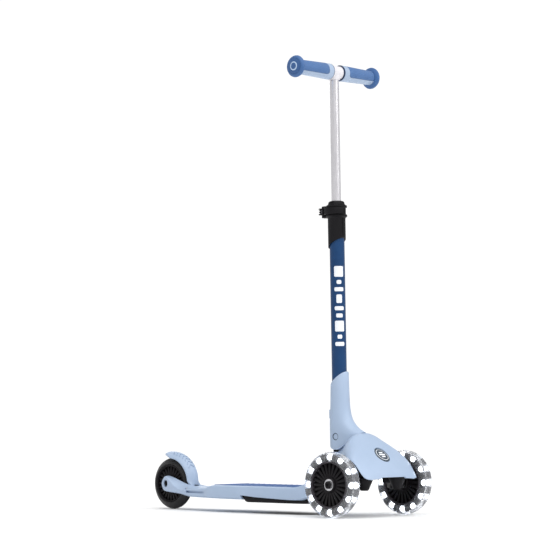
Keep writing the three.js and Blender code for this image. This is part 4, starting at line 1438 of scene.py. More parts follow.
@dataclass
class Deck:
    """The moulded deck with its two fork arms, chamfered along its lower edge."""

    datum: Datum
    rear_x: float = -494.5
    boss: float = 15.5
    slot_half: float = 14.5
    slot_front: float = -433.0
    pad_seat: float = 50.0
    hinge: tuple[float, float] = (-434.5, 41.0)
    aside: tuple[float, float] = (0.013, 0.017)
    width: list = field(default_factory=lambda: [
        (-510, 18.4), (-494.5, 24), (-478, 27.6), (-455, 29.4), (-434, 33), (-405, 40.6), (-369, 46.8),
        (-362, 50.8),
        (-338, 54.5), (-300, 57), (-180, 56), (-132, 54.4), (-118, 53), (-106, 50), (-98, 45.6), (-90, 38),
        (-84, 32), (-44, 27)])
    top: list = field(default_factory=lambda: [
        (-494.5, 65.5), (-487, 64), (-460, 55.4), (-437, 48.6), (-400, 45), (-365, 45.6), (-361, 47.4),
        (-345, 50.6),
        (-338, 51), (-160, 51), (-142, 50.6), (-130, 52), (-119, 55.6), (-109, 60.6), (-101, 66), (-95, 69),
        (-44, 69)])
    bottom: list = field(default_factory=lambda: [
        (-494.5, 34.5), (-470, 32.4), (-454, 31), (-421, 26.2), (-330, 25.4), (-142, 24.7), (-126, 26),
        (-112, 29.6), (-101, 34.5), (-78, 46), (-44, 52)])
    band: list = field(default_factory=lambda: [
        (-494.5, 1.2), (-440, 2), (-421, 6), (-380, 9), (-300, 9), (-250, 8), (-200, 6), (-140, 3),
        (-104, 1.5), (-44, 1)])

    slope: list = field(default_factory=lambda: [
        (-494.5, 0.8), (-484, 3.2), (-470, 8.5), (-457, 11.5), (-431, 6.6), (-405, 3), (-369, 1.2),
        (-340, 0)])

    def ring(self, x: float) -> list[Vector]:
        """One cross-section of the deck, with sloped top edges and a chamfer below.

        Args:
            x: its station, from the front axle.

        Returns:
            Its points, in metres.
        """
        w, t, b, c, s = (read_off(p, x) for p in (self.width, self.top, self.bottom, self.band, self.slope))
        if x < self.rear_x:
            reach = math.sqrt(max(0.36, self.boss ** 2 - (x - self.rear_x) ** 2))
            t, b = 50 + reach, 50 - reach
        r = min(2.2, (t - b) / 8)
        c, s = min(c, (t - b) / 8), min(s, (t - b) / 2)
        side = [(min(w - 12, 14), t), (w - r - 1.5, t - s * 0.85), (w - 0.7 * r, t - s - 0.3 * r),
                (w - 0.2, t - s - r),
                (w, t - s - 1.6 * r), (w, b + c + 1.5 * r / 2.2), (w - 0.4, b + c),
                (w - c * 0.9 - 0.6, b + 1.2 * r / 2.2), (w - c * 0.9 - 1.8, b + 0.3 * r / 2.2),
                (w - c * 0.9 - 3.4, b), (w - c * 0.9 - 8, b)]
        ring = [(0, t), *side, (0, b), *[(-y, z) for y, z in reversed(side)]]
        return [Axis.X.point(x, y, z) for y, z in ring]

    def build(self) -> None:
        """Builds the deck and hangs it on the base."""
        tip = [self.rear_x - self.boss * math.sin(math.radians(90 - 9 * i)) for i in range(10)]
        stations = [*tip, self.rear_x, -485, -476, -467, -458, -449, -441, -434, -426, -418, -410, -400,
                    -390, -378, -367, -364.5,
                    -362, -356, -348, -340, -330, -315, -300, -270, -240, -210, -180, -160, -145, -135,
                    -128, -122, -116,
                    -110, -106, -103, -100, -98, -96, -90, -84, -76, -64, -54, -44]
        deck = lofted("deck_moulding", [self.ring(x) for x in stations])
        axle = (self.rear_x, 50)
        hx, hz = self.hinge
        carve(deck, block("wheel", (-700, -self.slot_half, 0), (self.slot_front, self.slot_half, 200)),
              block("hinge", (self.slot_front - 1, -self.slot_half, hz - 9),
                    (hx + 12, self.slot_half, 200)),
              block("foot", (-96.3, -13.3, 57.7), (0, 13.3, 200)),
              rod("axle", Axis.Y, 4, -58, 58, axle), rod("head", Axis.Y, 7.2, 18.4, 60, axle),
              rod("tail", Axis.Y, 7.2, -60, -18.4, axle))
        carve(deck, rod("pin_left", Axis.Y, 2.8, 10, 50, (hx + self.aside[0], hz + self.aside[1]), 28))
        carve(deck, rod("pin_right", Axis.Y, 2.8, -50, -10, (hx + self.aside[0], hz + self.aside[1]), 28))
        carve(deck, self.groove(1), self.groove(-1), self.pocket(),
              GripMat.plan_slab("seat", 0.3, self.pad_seat, 80))
        carve(deck, *[rod("screw", Axis.Z, 2.3, 20, 48.4, (x, 0), 16) for x in Beam.screw_places()])
        carve(deck, Beam.skirt("skirt_room", 0.35, 0.0))
        rounded(deck, 0.45, 2, 42)
        deliver(moved(deck, self.datum.chassis), SHELL, "base", "deck_shell", crease=32)

    def groove(self, sign: int) -> bpy.types.Object:
        """The long slot in the side, as a cutter that follows the side's plan."""
        floor = [(-430.3, 27.7), (-405, 36.1), (-371.2, 43.7), (-371.2, 61), (-430.3, 61)]
        return slab("groove", [(x, sign * y) for x, y in floor][::sign], 33.9, 38.1, Axis.Z)

    def pocket(self) -> bpy.types.Object:
        """The hollow under the deck, as a cutter."""
        return slab("pocket", both([(-352, 36), (-330, 42), (-300, 47), (-180, 48), (-132, 44), (-112, 36),
                                    (-98, 27)]),
                    0, 45.5, Axis.Z)


@dataclass
class GripMat:
    """The soft mat let into the deck, with raised chevrons."""

    datum: Datum
    seat: float = 50.3
    top: float = 52.5
    chevrons: int = 15

    @staticmethod
    def plan(spare: float) -> list:
        """The mat's outline, grown by a spare."""
        corner = arc((-340, 38), 8 + spare, 180, 96, 6)
        return both([(-348 - spare, 28), *corner, (-300, 49 + spare), (-180, 49 + spare),
                     (-150, 47 + spare),
                     (-132, 43 + spare), (-119 + spare * 0.7, 37 + spare), (-112 + spare, 28)])

    @classmethod
    def plan_slab(cls, name: str, spare: float, low: float, high: float) -> bpy.types.Object:
        """The mat's outline as a solid."""
        return slab(name, cls.plan(spare), low, high, Axis.Z)

    def build(self) -> None:
        """Builds the mat and hangs it on the base."""
        mat = self.plan_slab("deck_mat_sheet", 0, self.seat, self.top - 0.6)
        rounded(mat, 0.5, 2, 50)
        ribs = [self.chevron(-326 + 14 * i) for i in range(self.chevrons)]
        deliver(moved(joined("deck_mat_sheet", [mat, *ribs]), self.datum.chassis), MAT, "base",
                "deck_grip_pad")

    def chevron(self, x: float) -> bpy.types.Object:
        """One raised chevron.

        Args:
            x: its tip, from the front axle.

        Returns:
            The chevron.
        """
        reach = min(40.0, 44 + (x + 130) * -0.2) if x > -150 else 40.0
        rib = slab("chevron", [(x, 0), (x - 9, reach), (x - 5, reach), (x + 4, 0), (x - 5, -reach),
                               (x - 9, -reach)],
                   self.top - 0.9, self.top, Axis.Z)
        return rounded(rib, 0.35, 2, 50)


@dataclass
class Beam:
    """The black stiffening beam under the deck, with its screws."""

    datum: Datum
    rear: float = -262.0
    front: float = -103.0
    half: float = 34.0
    front_half: float = 24.0
    bottom: float = 20.0
    top: float = 45.2

    @classmethod
    def screw_places(cls) -> list[float]:
        """Where the beam's screws stand."""
        return [cls.rear + share * (cls.front - cls.rear) for share in (0.17, 0.5, 0.83)]

    @classmethod
    def skirt(cls, name: str, spare: float, inset: float) -> bpy.types.Object:
        """The wide foot of the beam that closes the deck's lower edge.

        Args:
            name: name of the new piece.
            spare: how much it is grown by, as a cutter.
            inset: how far its sides stand in from the deck's.

        Returns:
            The solid, on both sides of the beam.
        """
        low = cls.bottom + 0.6 - (12 if spare else 0)
        rise = [(cls.rear - 5 - spare, 33.2 + spare), (cls.rear + 30, 30.4 + spare), (-190, 28.6 + spare),
                (-150, 26.8 + spare),
                (cls.front - 14, 27.0 + spare), (cls.front - 4 + spare, 31.4 + spare)]
        side = [(cls.rear - 5 - spare, 31.4), (cls.rear + 4 - spare, low + 1.6),
                (cls.rear + 8 - spare, low),
                (cls.front - 14 + spare, low), (cls.front - 4 + spare, 28), *rise[::-1]]
        skirt = slab(name, side, -60, 60)
        half = [(cls.rear - 6, 52.4), (cls.rear + 30, 52.6), (-180, 52.2), (-132, 50.4), (-116, 48),
                (-104, 44), (-98, 40)]
        plan = slab("plan", both([(x, y - inset + (9 if spare else 0)) for x, y in half]), 0, 60, Axis.Z)
        carve(skirt, plan, how="INTERSECT")
        if not spare:
            return carve(skirt, block("inside", (-400, -cls.half - 0.5, 0), (0, cls.half + 0.5, 60)))
        return carve(skirt, block("inside", (-400, -cls.half - 9, 0), (0, cls.half + 9, 60)))

    def build(self) -> None:
        """Builds the beam and hangs it on the base."""
        side = [(self.rear, 31.5), (self.rear + 3, 28), (self.rear + 10, self.bottom + 1.2),
                (self.rear + 14, self.bottom),
                (self.front, self.bottom), (self.front, self.top), (self.rear, self.top)]
        beam = slab("underside_beam_moulding", side, -self.half, self.half)
        plan = slab("plan", both([(self.rear, self.half - 4), (self.rear + 4, self.half),
                                  (self.front - 22, self.half),
                                  (self.front, self.front_half)]), 0, 60, Axis.Z)
        carve(beam, plan, how="INTERSECT")
        cells = []
        for sign in (-1, 1):
            for i in range(4):
                x = self.rear + 14 + i * 30
                low, high = sorted((sign * 8, sign * (self.half - 6)))
                cells.append(block("cell", (x, low, self.bottom + 4), (x + 27, high, 90)))
        sinks = [rod("sink", Axis.Z, 5, 0, 28, (x, 0), 32) for x in self.screw_places()]
        bores = [rod("bore", Axis.Z, 2.3, 0, 80, (x, 0), 16) for x in self.screw_places()]
        carve(beam, *cells, *sinks, *bores)
        rounded(beam, 1.0, 2, 40)
        wings = rounded(self.skirt("wings", 0, 0), 0.8, 2, 40)
        whole = joined("underside_beam_moulding", [beam, wings])
        deliver(moved(whole, self.datum.chassis), NYLON, "base", "underside_beam")
        refinish(ZINC, "beam_screw_1", "beam_screw_2", "beam_screw_3")


# ---------------------------------------------------------------- foot brake and rear axle


@dataclass
class FootBrake:
    """The moulded fender that the foot presses on the rear tyre."""

    datum: Datum
    axle: tuple[float, float] = (-494.5, 50.0)
    inner: float = 53.5
    half: float = 15.0
    skirt: float = 4.0
    hinge: tuple[float, float] = (-434.5, 41.0)
    knuckle: float = 6.0
    fork_slot: float = 13.9
    back: list = field(default_factory=lambda: [(6, 9.0), (22, 10), (36, 10), (54, 9.7), (76, 9.1),
                                                (91, 9)])

    def stations(self) -> list:
        """Where the fender's cross-sections stand, from the tail to the root.

        Returns:
            For each: its place on the inner face, its outward direction, half width, crown height, how deep
            its side skirts hang, and how much its back is rounded (1 fully, 0 flat).
        """
        ax, az = self.axle
        top = az + self.inner
        rows = [((ax - 13.4, top + 2.4), 98.0, 9.4, 4.2, 0.0, 0.28),
                ((ax - 12.4, top + 1.5), 98.0, 10.6, 6.2, 0.2, 0.3),
                ((ax - 9.5, top + 0.9), 97.0, 11.6, 7.8, 0.5, 0.36),
                ((ax - 6, top + 0.4), 95.0, 12.8, 8.8, 1.2, 0.5),
                ((ax - 2, top + 0.1), 93.0, 14.0, 9.1, 2.4, 0.72)]
        for i in range(20):
            degrees = 88 - 82 * i / 19
            place = arc(self.axle, self.inner, degrees, degrees, 1)[0]
            rows.append((place, degrees, self.half, read_off(self.back, degrees), self.skirt, 1.0))
        root = ax + self.inner
        rows += [((root - 0.2, 51.5), 0.0, 13.9, 8.8, 1.5, 0.5),
                 ((root - 0.2, 47), 0.0, 13.9, 8.4, 0.4, 0.2),
                 ((root - 0.2, 42), 0.0, 13.9, 8.0, 0.0, 0.1), ((root + 1.2, 37), 0.0, 13.9, 6.0, 0.0, 0.1)]
        return rows

    @staticmethod
    def droop(share: float) -> float:
        """How far the fender's back has fallen at a share of its half width."""
        return read_off([(0, 0), (0.2, 0.25), (0.4, 1.5), (0.6, 3.9), (0.87, 8.0), (1.0, 10.8)], abs(share))

    def section(self, row: tuple) -> list[Vector]:
        """One cross-section of the fender.

        Args:
            row: one of the stations.

        Returns:
            Its points, in metres.
        """
        (x, z), degrees, half, crown, skirt, bend = row
        out = [(u, crown - bend * self.droop(u)) for u in (-1, -0.94, -0.87, -0.74, -0.6, -0.4, -0.2, 0,
                                                           0.2, 0.4, 0.6,
                                                            0.74, 0.87, 0.94, 1)]
        under = [(1.0, -skirt + 0.6), (0.97, -skirt), (0.86, -skirt), (0.63, -skirt * 0.5),
                 (0.33, -skirt * 0.1), (0, 0)]
        ring = [*out, *under, *[(-u, h) for u, h in under[-2::-1]]]
        lean = math.radians(degrees)
        return [Axis.Y.point(u * half, x + h * math.cos(lean), z + h * math.sin(lean)) for u, h in ring]

    def build(self) -> None:
        """Builds the fender with its grooves, and finishes the hinge pin and the spring."""
        hx, hz = self.hinge
        fender = lofted("fender_moulding", [self.section(row) for row in self.stations()])
        carve(fender, rod("knuckle", Axis.Y, self.knuckle, 0.2 - self.fork_slot, self.fork_slot - 0.2,
                          self.hinge, 40), how="UNION")
        carve(fender, rod("bore", Axis.Y, 2.8, -self.fork_slot - 1, self.fork_slot + 1, self.hinge, 28),
              block("spring", (hx - 8, -6, hz - 8), (hx + 8, 6, hz + 7.4)))
        rounded(fender, 0.8, 2, 40)
        carve(fender, *[self.groove(34 + 8 * i) for i in range(7)])
        deliver(moved(fender, self.datum.chassis), SHELL, "brake", "fender_brake", crease=38)
        refinish(STEEL, "brake_hinge_pin", "brake_spring")

    def groove(self, degrees: float) -> bpy.types.Object:
        """One zigzag groove across the fender's back, as a cutter.

        Args:
            degrees: its place round the rear axle, up from level.

        Returns:
            The cutter.
        """
        middle = [(-10.5 + 21 * i / 24, 2.2 * math.cos(math.radians(360 * i / 12))) for i in range(25)]
        outline = [*[(y, s + 1.1) for y, s in middle], *[(y, s - 1.1) for y, s in reversed(middle)]]
        cutter = slab("groove", [(s, y) for y, s in outline], -1.7, 3, Axis.Z)
        for vertex in cutter.data.vertices:
            vertex.co.z -= self.droop(vertex.co.y / MM / self.half) * MM
        reach = self.inner + read_off(self.back, degrees)
        x, z = arc(self.axle, reach, degrees, degrees, 1)[0]
        turn = Matrix.Rotation(math.radians(90 - degrees), 4, "Y")
        stand = Matrix.Translation(Axis.Y.point(0, x, z)) @ turn
        return moved(cutter, stand)


@dataclass
class RearAxle:
    """The rear axle bolt, with its dark head in the fork's recess."""

    datum: Datum

    def build(self) -> None:
        """Builds the bolt and hangs it on the base."""
        bolt = turned("rear_axle_bolt_cap", [(0, -21), (4.4, -21), (5.6, -20.6), (6.3, -19.8), (6.6, -18.7),
                                             (3.7, -18.7),
                                             (3.7, 22.4), (0, 22.4)], Axis.Y, 48)
        carve(bolt, rod("socket", Axis.Y, 2.9, -30, -19.4, (0, 0), 6))
        deliver(moved(bolt, Matrix.Translation(self.datum.rear_axle)), NYLON, "base", "rear_axle_bolt")
        refinish(ZINC, "rear_axle_nut")


# ---------------------------------------------------------------- stem tubes and height clamp


@dataclass
class StemTubes:
    """The sprayed lower tube with its plain printed bars, and the bare upper tube."""

    datum: Datum
    lower: float = 14.0
    lower_from: float = 62.0
    lower_to: float = 424.0
    upper: float = 8.9
    upper_from: float = 236.0
    upper_to: float = 674.0
    print_facing: float = -41.0

    def build(self) -> None:
        """Builds both tubes and the print."""
        lower = turned("lower_tube_sprayed", [(12.5, self.lower_from), (self.lower, self.lower_from),
                                              (self.lower, self.lower_to),
                                              (12.5, self.lower_to)], Axis.Z, 96)
        carve(lower, rod("screw", Axis.X, 2.3, -60, 0, (0, 77), 24))
        deliver(moved(lower, self.datum.column), NAVY, "stem", "lower_tube")
        upper = turned("upper_tube_drawn", [(7.5, self.upper_from), (self.upper, self.upper_from),
                                            (self.upper, self.upper_to),
                                            (7.5, self.upper_to)], Axis.Z, 96)
        deliver(moved(upper, self.datum.column), ALLOY, "handlebar", "upper_tube")
        refinish(NYLON, "guide_bush")
        self.print_bars()

    def print_bars(self) -> None:
        """A run of plain rounded bars and dots up the tube's front."""
        rows = [(7.5, 1.0), (7.5, 0.5), (20, 1.0), (7.5, 0.7), (7.5, 1.0), (16, 0.6), (7.5, 1.0),
                (7.5, 0.5), (20, 1.0)]
        marks, z = [], 168.0
        for tall, share in rows:
            marks.append(self.mark(z, z + tall, share))
            z += tall + 6
        deliver(moved(joined("tube_print", marks), self.datum.column), INK, "stem")

    def mark(self, low: float, high: float, share: float) -> bpy.types.Object:
        """One printed bar: a thin rounded patch bent round the tube.

        Args:
            low: where it starts up the tube.
            high: where it ends.
            share: how much of the print's width it takes.

        Returns:
            The patch.
        """
        reach, round_off, skin = 9.0 * share, 2.4, 0.12
        outline = []
        for y, z, first in ((reach - round_off, high - round_off, 0),
                            (-reach + round_off, high - round_off, 90),
                            (-reach + round_off, low + round_off, 180),
                            (reach - round_off, low + round_off, 270)):
            outline += arc((y, z), round_off, first, first + 90, 5)
        patch = slab("mark", outline, self.lower - 0.2, self.lower + skin, Axis.X)
        for k in range(1, 16):
            take(patch)
            bpy.ops.object.mode_set(mode="EDIT")
            bpy.ops.mesh.select_all(action="SELECT")
            bpy.ops.mesh.bisect(plane_co=(0, (-reach + 2 * reach * k / 16) * MM, 0), plane_no=(0, 1, 0))
            bpy.ops.object.mode_set(mode="OBJECT")
        for vertex in patch.data.vertices:
            radius, turn = vertex.co.x, vertex.co.y / (self.lower * MM)
            vertex.co.x, vertex.co.y = radius * math.cos(turn), radius * math.sin(turn)
        return moved(close_up(patch), Matrix.Rotation(math.radians(self.print_facing), 4, "Z"))


@dataclass
class HeightClamp:
    """The black clamp with its slanted sleeve, flanges, lever band and top ring."""

    datum: Datum
    sleeve: float = 16.6
    bottom: float = 361.0
    slant: float = 31.0
    collar: tuple[float, float] = (409.5, 431.5)
    flange: float = 20.0
    groove: float = 17.6
    flange_depth: float = 4.6
    ring: tuple[float, float] = (15.4, 440.0)
    lug_back: float = -33.0
    lug_half: float = 6.0
    pin: tuple[float, float] = (-25.0, -12.5)

    def build(self) -> None:
        """Builds the clamp and hangs its pieces on the stem and the lever."""
        self.body()
        self.top_ring()
        self.lever()
        refinish(ZINC, "clamp_draw_bolt", "clamp_nut")
        refinish(STEEL, "clamp_pin")

    def body(self) -> None:
        """The sleeve with its flanges and lugs."""
        low, high = self.collar
        shelf = (low + self.flange_depth, high - self.flange_depth)
        f, g, s = self.flange, self.groove, self.sleeve
        profile = [(0, self.bottom - 20), (s, self.bottom - 20), (s, low - 3), (s + 1.2, low - 0.8),
                   (f - 0.8, low),
                   (f, low + 1), (f, shelf[0] - 0.8), (f - 0.8, shelf[0]), (g, shelf[0]), (g, shelf[1]),
                   (f - 1.0, shelf[1]), (f - 0.2, shelf[1] + 0.8), (f - 0.2, high - 1), (f - 1.2, high),
                   (0, high)]
        body = turned("clamp_body_moulding", profile, Axis.Z, 96)
        slope = math.tan(math.radians(self.slant))
        carve(body, slab("under", [(-60, self.bottom - 60 * slope), (60, self.bottom + 60 * slope),
                                   (60, 250), (-60, 250)],
                         -60, 60))
        lugs = [slab("lug", [*arc((self.lug_back + 7, 0), 7, 90, 270, 12), (-14, -7), (-14, 7)], *span,
                     Axis.Z)
                for span in ((low + 0.1, shelf[0] - 0.15), (shelf[1] + 0.15, high - 0.1))]
        middle = block("middle", (self.lug_back + 2, -self.lug_half, low + 0.4),
                       (-14, self.lug_half, high - 0.4))
        seam = block("front_seam", (12, -2.4, self.bottom + 14), (s + 0.8, 2.4, low - 2.5))
        carve(body, *lugs, middle, seam, how="UNION")
        centre = (low + high) / 2
        carve(body, block("slit", (-60, -1, low - 8), (-8, 1, 500)),
              rod("bolt", Axis.Y, 2.7, -60, 60, (self.pin[0], centre)),
              rod("tube", Axis.Z, 9.3, 400, 500), rod("seat", Axis.Z, 14.35, 300, 424.4))
        rounded(body, 0.4, 2, 45)
        deliver(moved(body, self.datum.column), NYLON, "stem", "clamp_body")

    def top_ring(self) -> None:
        """The rounded top ring with two notches."""
        r, top = self.ring
        low = self.collar[1] + 0.3
        ring = turned("clamp_top_ring_moulding", [(9.25, low), (r + 1.4, low), (r + 1.6, low + 0.8),
                                                  (r, low + 2.2),
                                                  (r - 0.2, top - 3.4), (r - 1.6, top - 1.4),
                                                  (r - 4, top - 0.3),
                                                  (9.9, top), (9.25, top - 0.6)], Axis.Z, 96)
        notches = [moved(block("notch", (r - 2.6, -2.6, top - 4.6), (r + 4, 2.6, top + 3)),
                         Matrix.Rotation(math.radians(turn), 4, "Z")) for turn in (8, 98, 188, 278)]
        carve(ring, *notches)
        rounded(ring, 0.35, 2, 45)
        deliver(moved(ring, self.datum.column), NYLON, "stem", "clamp_top_ring")

    def lever(self) -> None:
        """The lever band that wraps the collar, its ribbed knuckle and its square tip."""
        low, high = self.collar[0] + self.flange_depth + 0.3, self.collar[1] - self.flange_depth - 0.3
        outer, inner = self.flange + 3.8, self.groove + 0.3
        band = [*arc((0, 0), outer, -152, -16, 40), *arc((0, 0), outer + 0.9, -14, -8, 4),
                *arc((0, 0), inner, -8, -152, 44)]
        lever = slab("clamp_lever_moulding", band, low, high, Axis.Z)
        px, py = self.pin
        knuckle = rod("knuckle", Axis.Z, 6.2, low, high, self.pin)
        carve(lever, knuckle, how="UNION")
        centre = (low + high) / 2
        carve(lever, rod("bore", Axis.Z, 2.3, 300, 500, self.pin, 24),
              block("cheek", (px - 100, py - 5.6, centre - 4.3), (px + 3.9, 60, centre + 4.3)))
        grooves = [moved(block("rib_gap", (20.9 + 2.2, -1.6, z), (60, 1.6, z + 1.5)), Matrix.Identity(4))
                   for z in (low + 2.4, low + 5.6, low + 8.8)]
        turns = [Matrix.Rotation(math.radians(-146), 4, "Z")] * 3
        for gap, turn in zip(grooves, turns):
            moved(gap, turn)
        carve(lever, *grooves)
        rounded(lever, 0.6, 2, 45)
        deliver(moved(lever, self.datum.column), NYLON, "lever", "clamp_lever")


# ---------------------------------------------------------------- handlebar


@dataclass
class Handlebar:
    """The tee, crossbar, grip cores, grip pads and end caps."""

    datum: Datum
    z: float = 682.6
    tee_radius: float = 12.6
    tee_half: float = 14.6
    bar: float = 8.0
    half: float = 104.6
    grip_in: float = 15.2
    grip_out: float = 13.4
    pad_from: float = 30.0
    pad_deg: tuple[float, float] = (-32.0, 212.0)
    cap: float = 20.5

    @property
    def place(self) -> Matrix:
        """Moves a mesh made about the bar's middle into the row's frame."""
        return self.datum.column @ Matrix.Translation((0, 0, self.z * MM))

    def build(self) -> None:
        """Builds the handlebar and hangs it on its body."""
        self.tee()
        crossbar = turned("crossbar_tube", [(6.5, -self.half), (self.bar, -self.half),
                                            (self.bar, self.half),
                                            (6.5, self.half)], Axis.Y, 64)
        deliver(moved(crossbar, self.place), ALLOY, "handlebar", "crossbar")
        core, pad, cap, face, mark = self.core(), self.pad(), self.end_cap(), self.cap_face(), self.cap_mark()
        # collar: a dark ring of painted shade in the gap between grip and tee
        collar = self.collar()
        for side in Side:
            flip = MIRROR if side is Side.RIGHT else Matrix.Identity(4)
            for piece, name, finish, nodes in (
                (core, "grip_core_{}_moulding", SHELL, ["grip_core_{}"]),
                (pad, "grip_pad_{}_inlay", GRIP, ["grip_pad_{}"]),
                (cap, "end_cap_{}_flange", CAP, ["end_cap_{}"]), (face, "end_cap_{}_face", CAP_FACE, []),
                (mark, "end_cap_{}_mark", CAP_INK, []), (collar, "grip_collar_{}", NAVY_PAINTED_GAP_SHADE, []),
            ):
                twin = copied(piece, name.format(side.word), self.place @ flip)
                deliver(twin, finish, "handlebar", *[n.format(side.word) for n in nodes])
        for piece in (core, pad, cap, face, mark, collar):
            bpy.data.objects.remove(piece)

    def tee(self) -> None:
        """The cast tee on top of the stem, flared where the stem meets it."""
        r, w = self.tee_radius, self.tee_half
        tee = turned("handlebar_tee_casting", [(8.3, -w), (r - 1, -w), (r, -w + 1), (r, w - 1), (r - 1, w),
                                               (8.3, w)],
                     Axis.Y, 96)
        root = turned("root", [(9.2, -14.6), (10.4, -14.4), (11.2, -12.4), (11.8, -9), (11.8, 0), (9.2, 0)],
                      Axis.Z, 96)
        carve(tee, root, how="UNION")
        carve(tee, rod("bore", Axis.Y, 8.3, -60, 60, sides=64))
        rounded(tee, 0.6, 2, 35)
        deliver(moved(tee, self.place), CAST_ALLOY, "handlebar", "handlebar_tee")

    def radius_at(self, y: float) -> float:
        """Radius of the grip at a place along the bar."""
        start = self.tee_half + 0.6
        return self.grip_in + (self.grip_out - self.grip_in) * (y - start) / (self.half - start)

    def core(self) -> bpy.types.Object:
        """The left grip core, hollowed for its pad.

        Returns:
            The core.
        """
        start = self.tee_half + 0.6
        r0 = self.grip_in
        profile = [(8.3, start + 0.7), (r0 - 0.7, start + 0.7), (r0 - 0.2, start + 1.1), (r0, start + 2.0),
                   (r0, start + 4.2), (self.radius_at(60), 60), (self.grip_out, self.half),
                   (8.3, self.half)]
        core = turned("core", profile, Axis.Y, 96)
        room = self.sector("room", self.pad_from - 0.4, self.half + 1, 1.7, 4, 1.5)
        carve(core, room)
        return rounded(core, 0.5, 2, 45)

    def collar(self) -> bpy.types.Object:
        """A dark ring between the left grip and the tee, as painted shade for the gap between them."""
        start, r = self.tee_half + 0.3, self.grip_in - 0.1
        return turned("collar", [(8.4, start), (r - 0.5, start), (r, start + 0.4), (r, start + 0.9),
                                 (8.4, start + 0.9)],
                      Axis.Y, 96)

    def sector(self, name: str, first: float, last: float, skin: float, proud: float,
               spare: float) -> bpy.types.Object:
        """A part of the grip's skin between two places and two angles, with rounded inner corners.

        Args:
            name: name of the new piece.
            first: where it starts along the bar.
            last: where it ends.
            skin: how deep it goes under the grip's face.
            proud: how far it stands over it.
            spare: degrees that it is wider by on each side.

        Returns:
            The sector.
        """
        a, b = self.pad_deg[0] - spare, self.pad_deg[1] + spare
        reach, corner, rows = (b - a) / 2, 5.5, []
        count = 40
        for k in range(count + 1):
            turn = a + (b - a) * k / count
            off = (reach - abs(turn - (a + b) / 2)) / 360 * 2 * math.pi * 14.5
            inset = corner - math.sqrt(max(0.0, corner ** 2 - (corner - min(off, corner)) ** 2))
            rows.append((turn, first + inset))
        rings = []
        for turn, start in rows:
            t = math.radians(turn)
            ring = [(self.radius_at(start) - skin, start), (self.radius_at(start) + proud, start),
                    (self.radius_at(last) + proud, last), (self.radius_at(last) - skin, last)]
            rings.append([Axis.Y.point(y, r * math.cos(t), r * math.sin(t)) for r, y in ring])
        return lofted(name, rings)

    def pad(self) -> bpy.types.Object:
        """The left soft inlay."""
        return rounded(self.sector("pad", self.pad_from, self.half - 0.3, 1.35, 0.25, 0), 0.35, 2, 50)

    def end_cap(self) -> bpy.types.Object:
        """The left end cap: a soft flange round a recessed face.

        Returns:
            The cap.
        """
        y, r = self.half + 0.3, self.cap
        profile = [(0, y), (13.6, y), (15, y + 0.4), (17.6, y + 1.8), (r - 0.6, y + 3.2), (r, y + 4.8),
                   (r - 0.3, y + 6.6),
                   (r - 1.6, y + 8.8), (r - 3.6, y + 10.1), (r - 5.0, y + 10.3), (r - 5.6, y + 9.7),
                   (0, y + 9.7)]
        return turned("cap", profile, Axis.Y, 96)

    def cap_face(self) -> bpy.types.Object:
        """The darker domed face inside the flange."""
        y, r = self.half + 0.3, self.cap - 5.7
        return turned("face", [(0, y + 8), (r, y + 8), (r, y + 10.2), (r - 0.8, y + 10.7), (9, y + 11.6),
                               (4, y + 12),
                               (0, y + 12.1)], Axis.Y, 96)

    def cap_mark(self) -> bpy.types.Object:
        """A plain pale ring on the cap's face."""
        y = self.half + 0.3
        return turned("mark", [(6.2, y + 11.2), (8.2, y + 11.2), (8.2, y + 11.95), (7.2, y + 12.2),
                               (6.2, y + 12.2)],
                      Axis.Y, 72)


# ---------------------------------------------------------------- studio


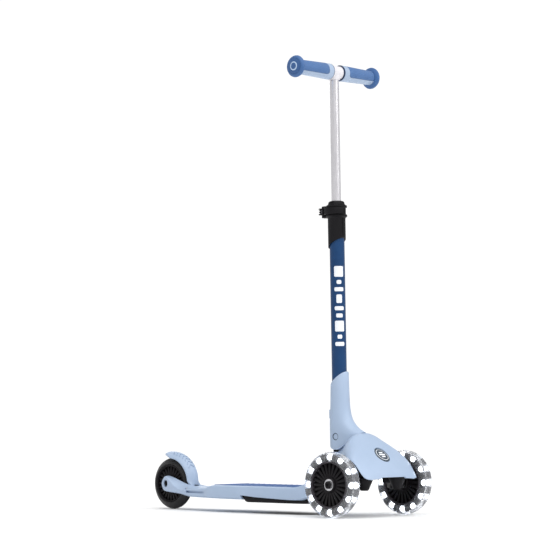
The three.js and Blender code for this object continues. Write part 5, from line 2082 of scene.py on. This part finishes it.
@dataclass
class Studio:
    """Camera, floor and lights."""

    eye: tuple[float, float, float] = (3.0456, -3.4767, 0.2047)
    target: tuple[float, float, float] = (0.02539, 0.0, 0.44216)
    lens: float = 155.47

    def build(self) -> None:
        """Sets up the camera, the pale floor and soft light."""
        camera = bpy.data.objects.new("camera", bpy.data.cameras.new("camera"))
        bpy.context.scene.collection.objects.link(camera)
        camera.location = self.eye
        camera.rotation_euler = (Vector(self.target) - Vector(self.eye)).to_track_quat("-Z", "Y").to_euler()
        camera.data.lens, camera.data.sensor_width = self.lens, 36.0
        camera.data.clip_end = 100.0
        bpy.context.scene.camera = camera
        bpy.context.scene.view_settings.view_transform = "Standard"
        self.floor()
        self.world()
        self.sun("sky", (1.0, -0.9, 2.4), 1.7, 50)
        for name, place, size, power in (("key", (2.8, 0.6, 2.2), 1.2, 26.0),
                                         ("rim", (-2.4, 1.8, 1.8), 1.6, 16.0)):
            self.lamp(name, place, size, power)

    def floor(self) -> None:
        """A wide pale floor just under the wheels."""
        settle()
        bpy.ops.mesh.primitive_circle_add(vertices=96, radius=3.4, fill_type="NGON",
                                          location=(0, 0, -0.0004))
        floor = bpy.context.object
        floor.name = "floor"
        graph = Graph("pale_floor")
        graph.link(graph.span(graph.noise(3, 2), 0.88, 0.94), graph.shader.inputs["Roughness"])
        graph.set(Base_Color=(0.96, 0.96, 0.96, 1), Specular_IOR_Level=0.1)
        floor.data.materials.append(graph.material)

    def world(self) -> None:
        """An even white surround."""
        world = bpy.data.worlds.new("surround")
        bpy.context.scene.world = world
        world.use_nodes = True
        ground = world.node_tree.nodes["Background"]
        ground.inputs["Color"].default_value = (1, 1, 1, 1)
        seen = world.node_tree.nodes.new("ShaderNodeLightPath")
        level = world.node_tree.nodes.new("ShaderNodeMapRange")
        level.inputs["To Min"].default_value = 0.55
        level.inputs["To Max"].default_value = 1.05
        world.node_tree.links.new(seen.outputs["Is Camera Ray"], level.inputs["Value"])
        world.node_tree.links.new(level.outputs["Result"], ground.inputs["Strength"])

    def sun(self, name: str, come_from: tuple[float, float, float], strength: float,
            softness: float) -> None:
        """A broad soft light that falls on everything alike.

        Args:
            name: the light's name.
            come_from: the direction it comes from.
            strength: how strong it is.
            softness: its width in the sky, in degrees.
        """
        light = bpy.data.lights.new(name, "SUN")
        light.energy, light.angle = strength, math.radians(softness)
        lamp = bpy.data.objects.new(name, light)
        bpy.context.scene.collection.objects.link(lamp)
        lamp.rotation_euler = (-Vector(come_from)).to_track_quat("-Z", "Y").to_euler()

    def lamp(self, name: str, place: tuple[float, float, float], size: float, power: float) -> None:
        """A soft square light that looks at the scooter's middle.

        Args:
            name: the light's name.
            place: where it stands, in metres.
            size: its side, in metres.
            power: its power, in watts.
        """
        light = bpy.data.lights.new(name, "AREA")
        light.energy, light.size = power, size
        lamp = bpy.data.objects.new(name, light)
        bpy.context.scene.collection.objects.link(lamp)
        lamp.location = place
        lamp.rotation_euler = (Vector(self.target) - Vector(place)).to_track_quat("-Z", "Y").to_euler()


def main() -> None:
    """Builds every part of the scooter in order."""
    logging.basicConfig(level=logging.INFO, format="%(message)s")
    datum = Datum.from_frame()
    Studio().build()
    parts: Iterable = (
        FrontWheel(datum, Side.RIGHT), FrontWheel(datum, Side.LEFT), RearWheel(datum), Steering(datum),
        FrontTruck(datum), NoseCover(datum), StemHousing(datum), FoldPin(datum), Deck(datum),
        GripMat(datum),
        Beam(datum), FootBrake(datum), RearAxle(datum), StemTubes(datum), HeightClamp(datum),
        Handlebar(datum),
    )
    for part in parts:
        part.build()
        log.info("built %s", type(part).__name__)
    settle()


if __name__ == "__main__":
    main()
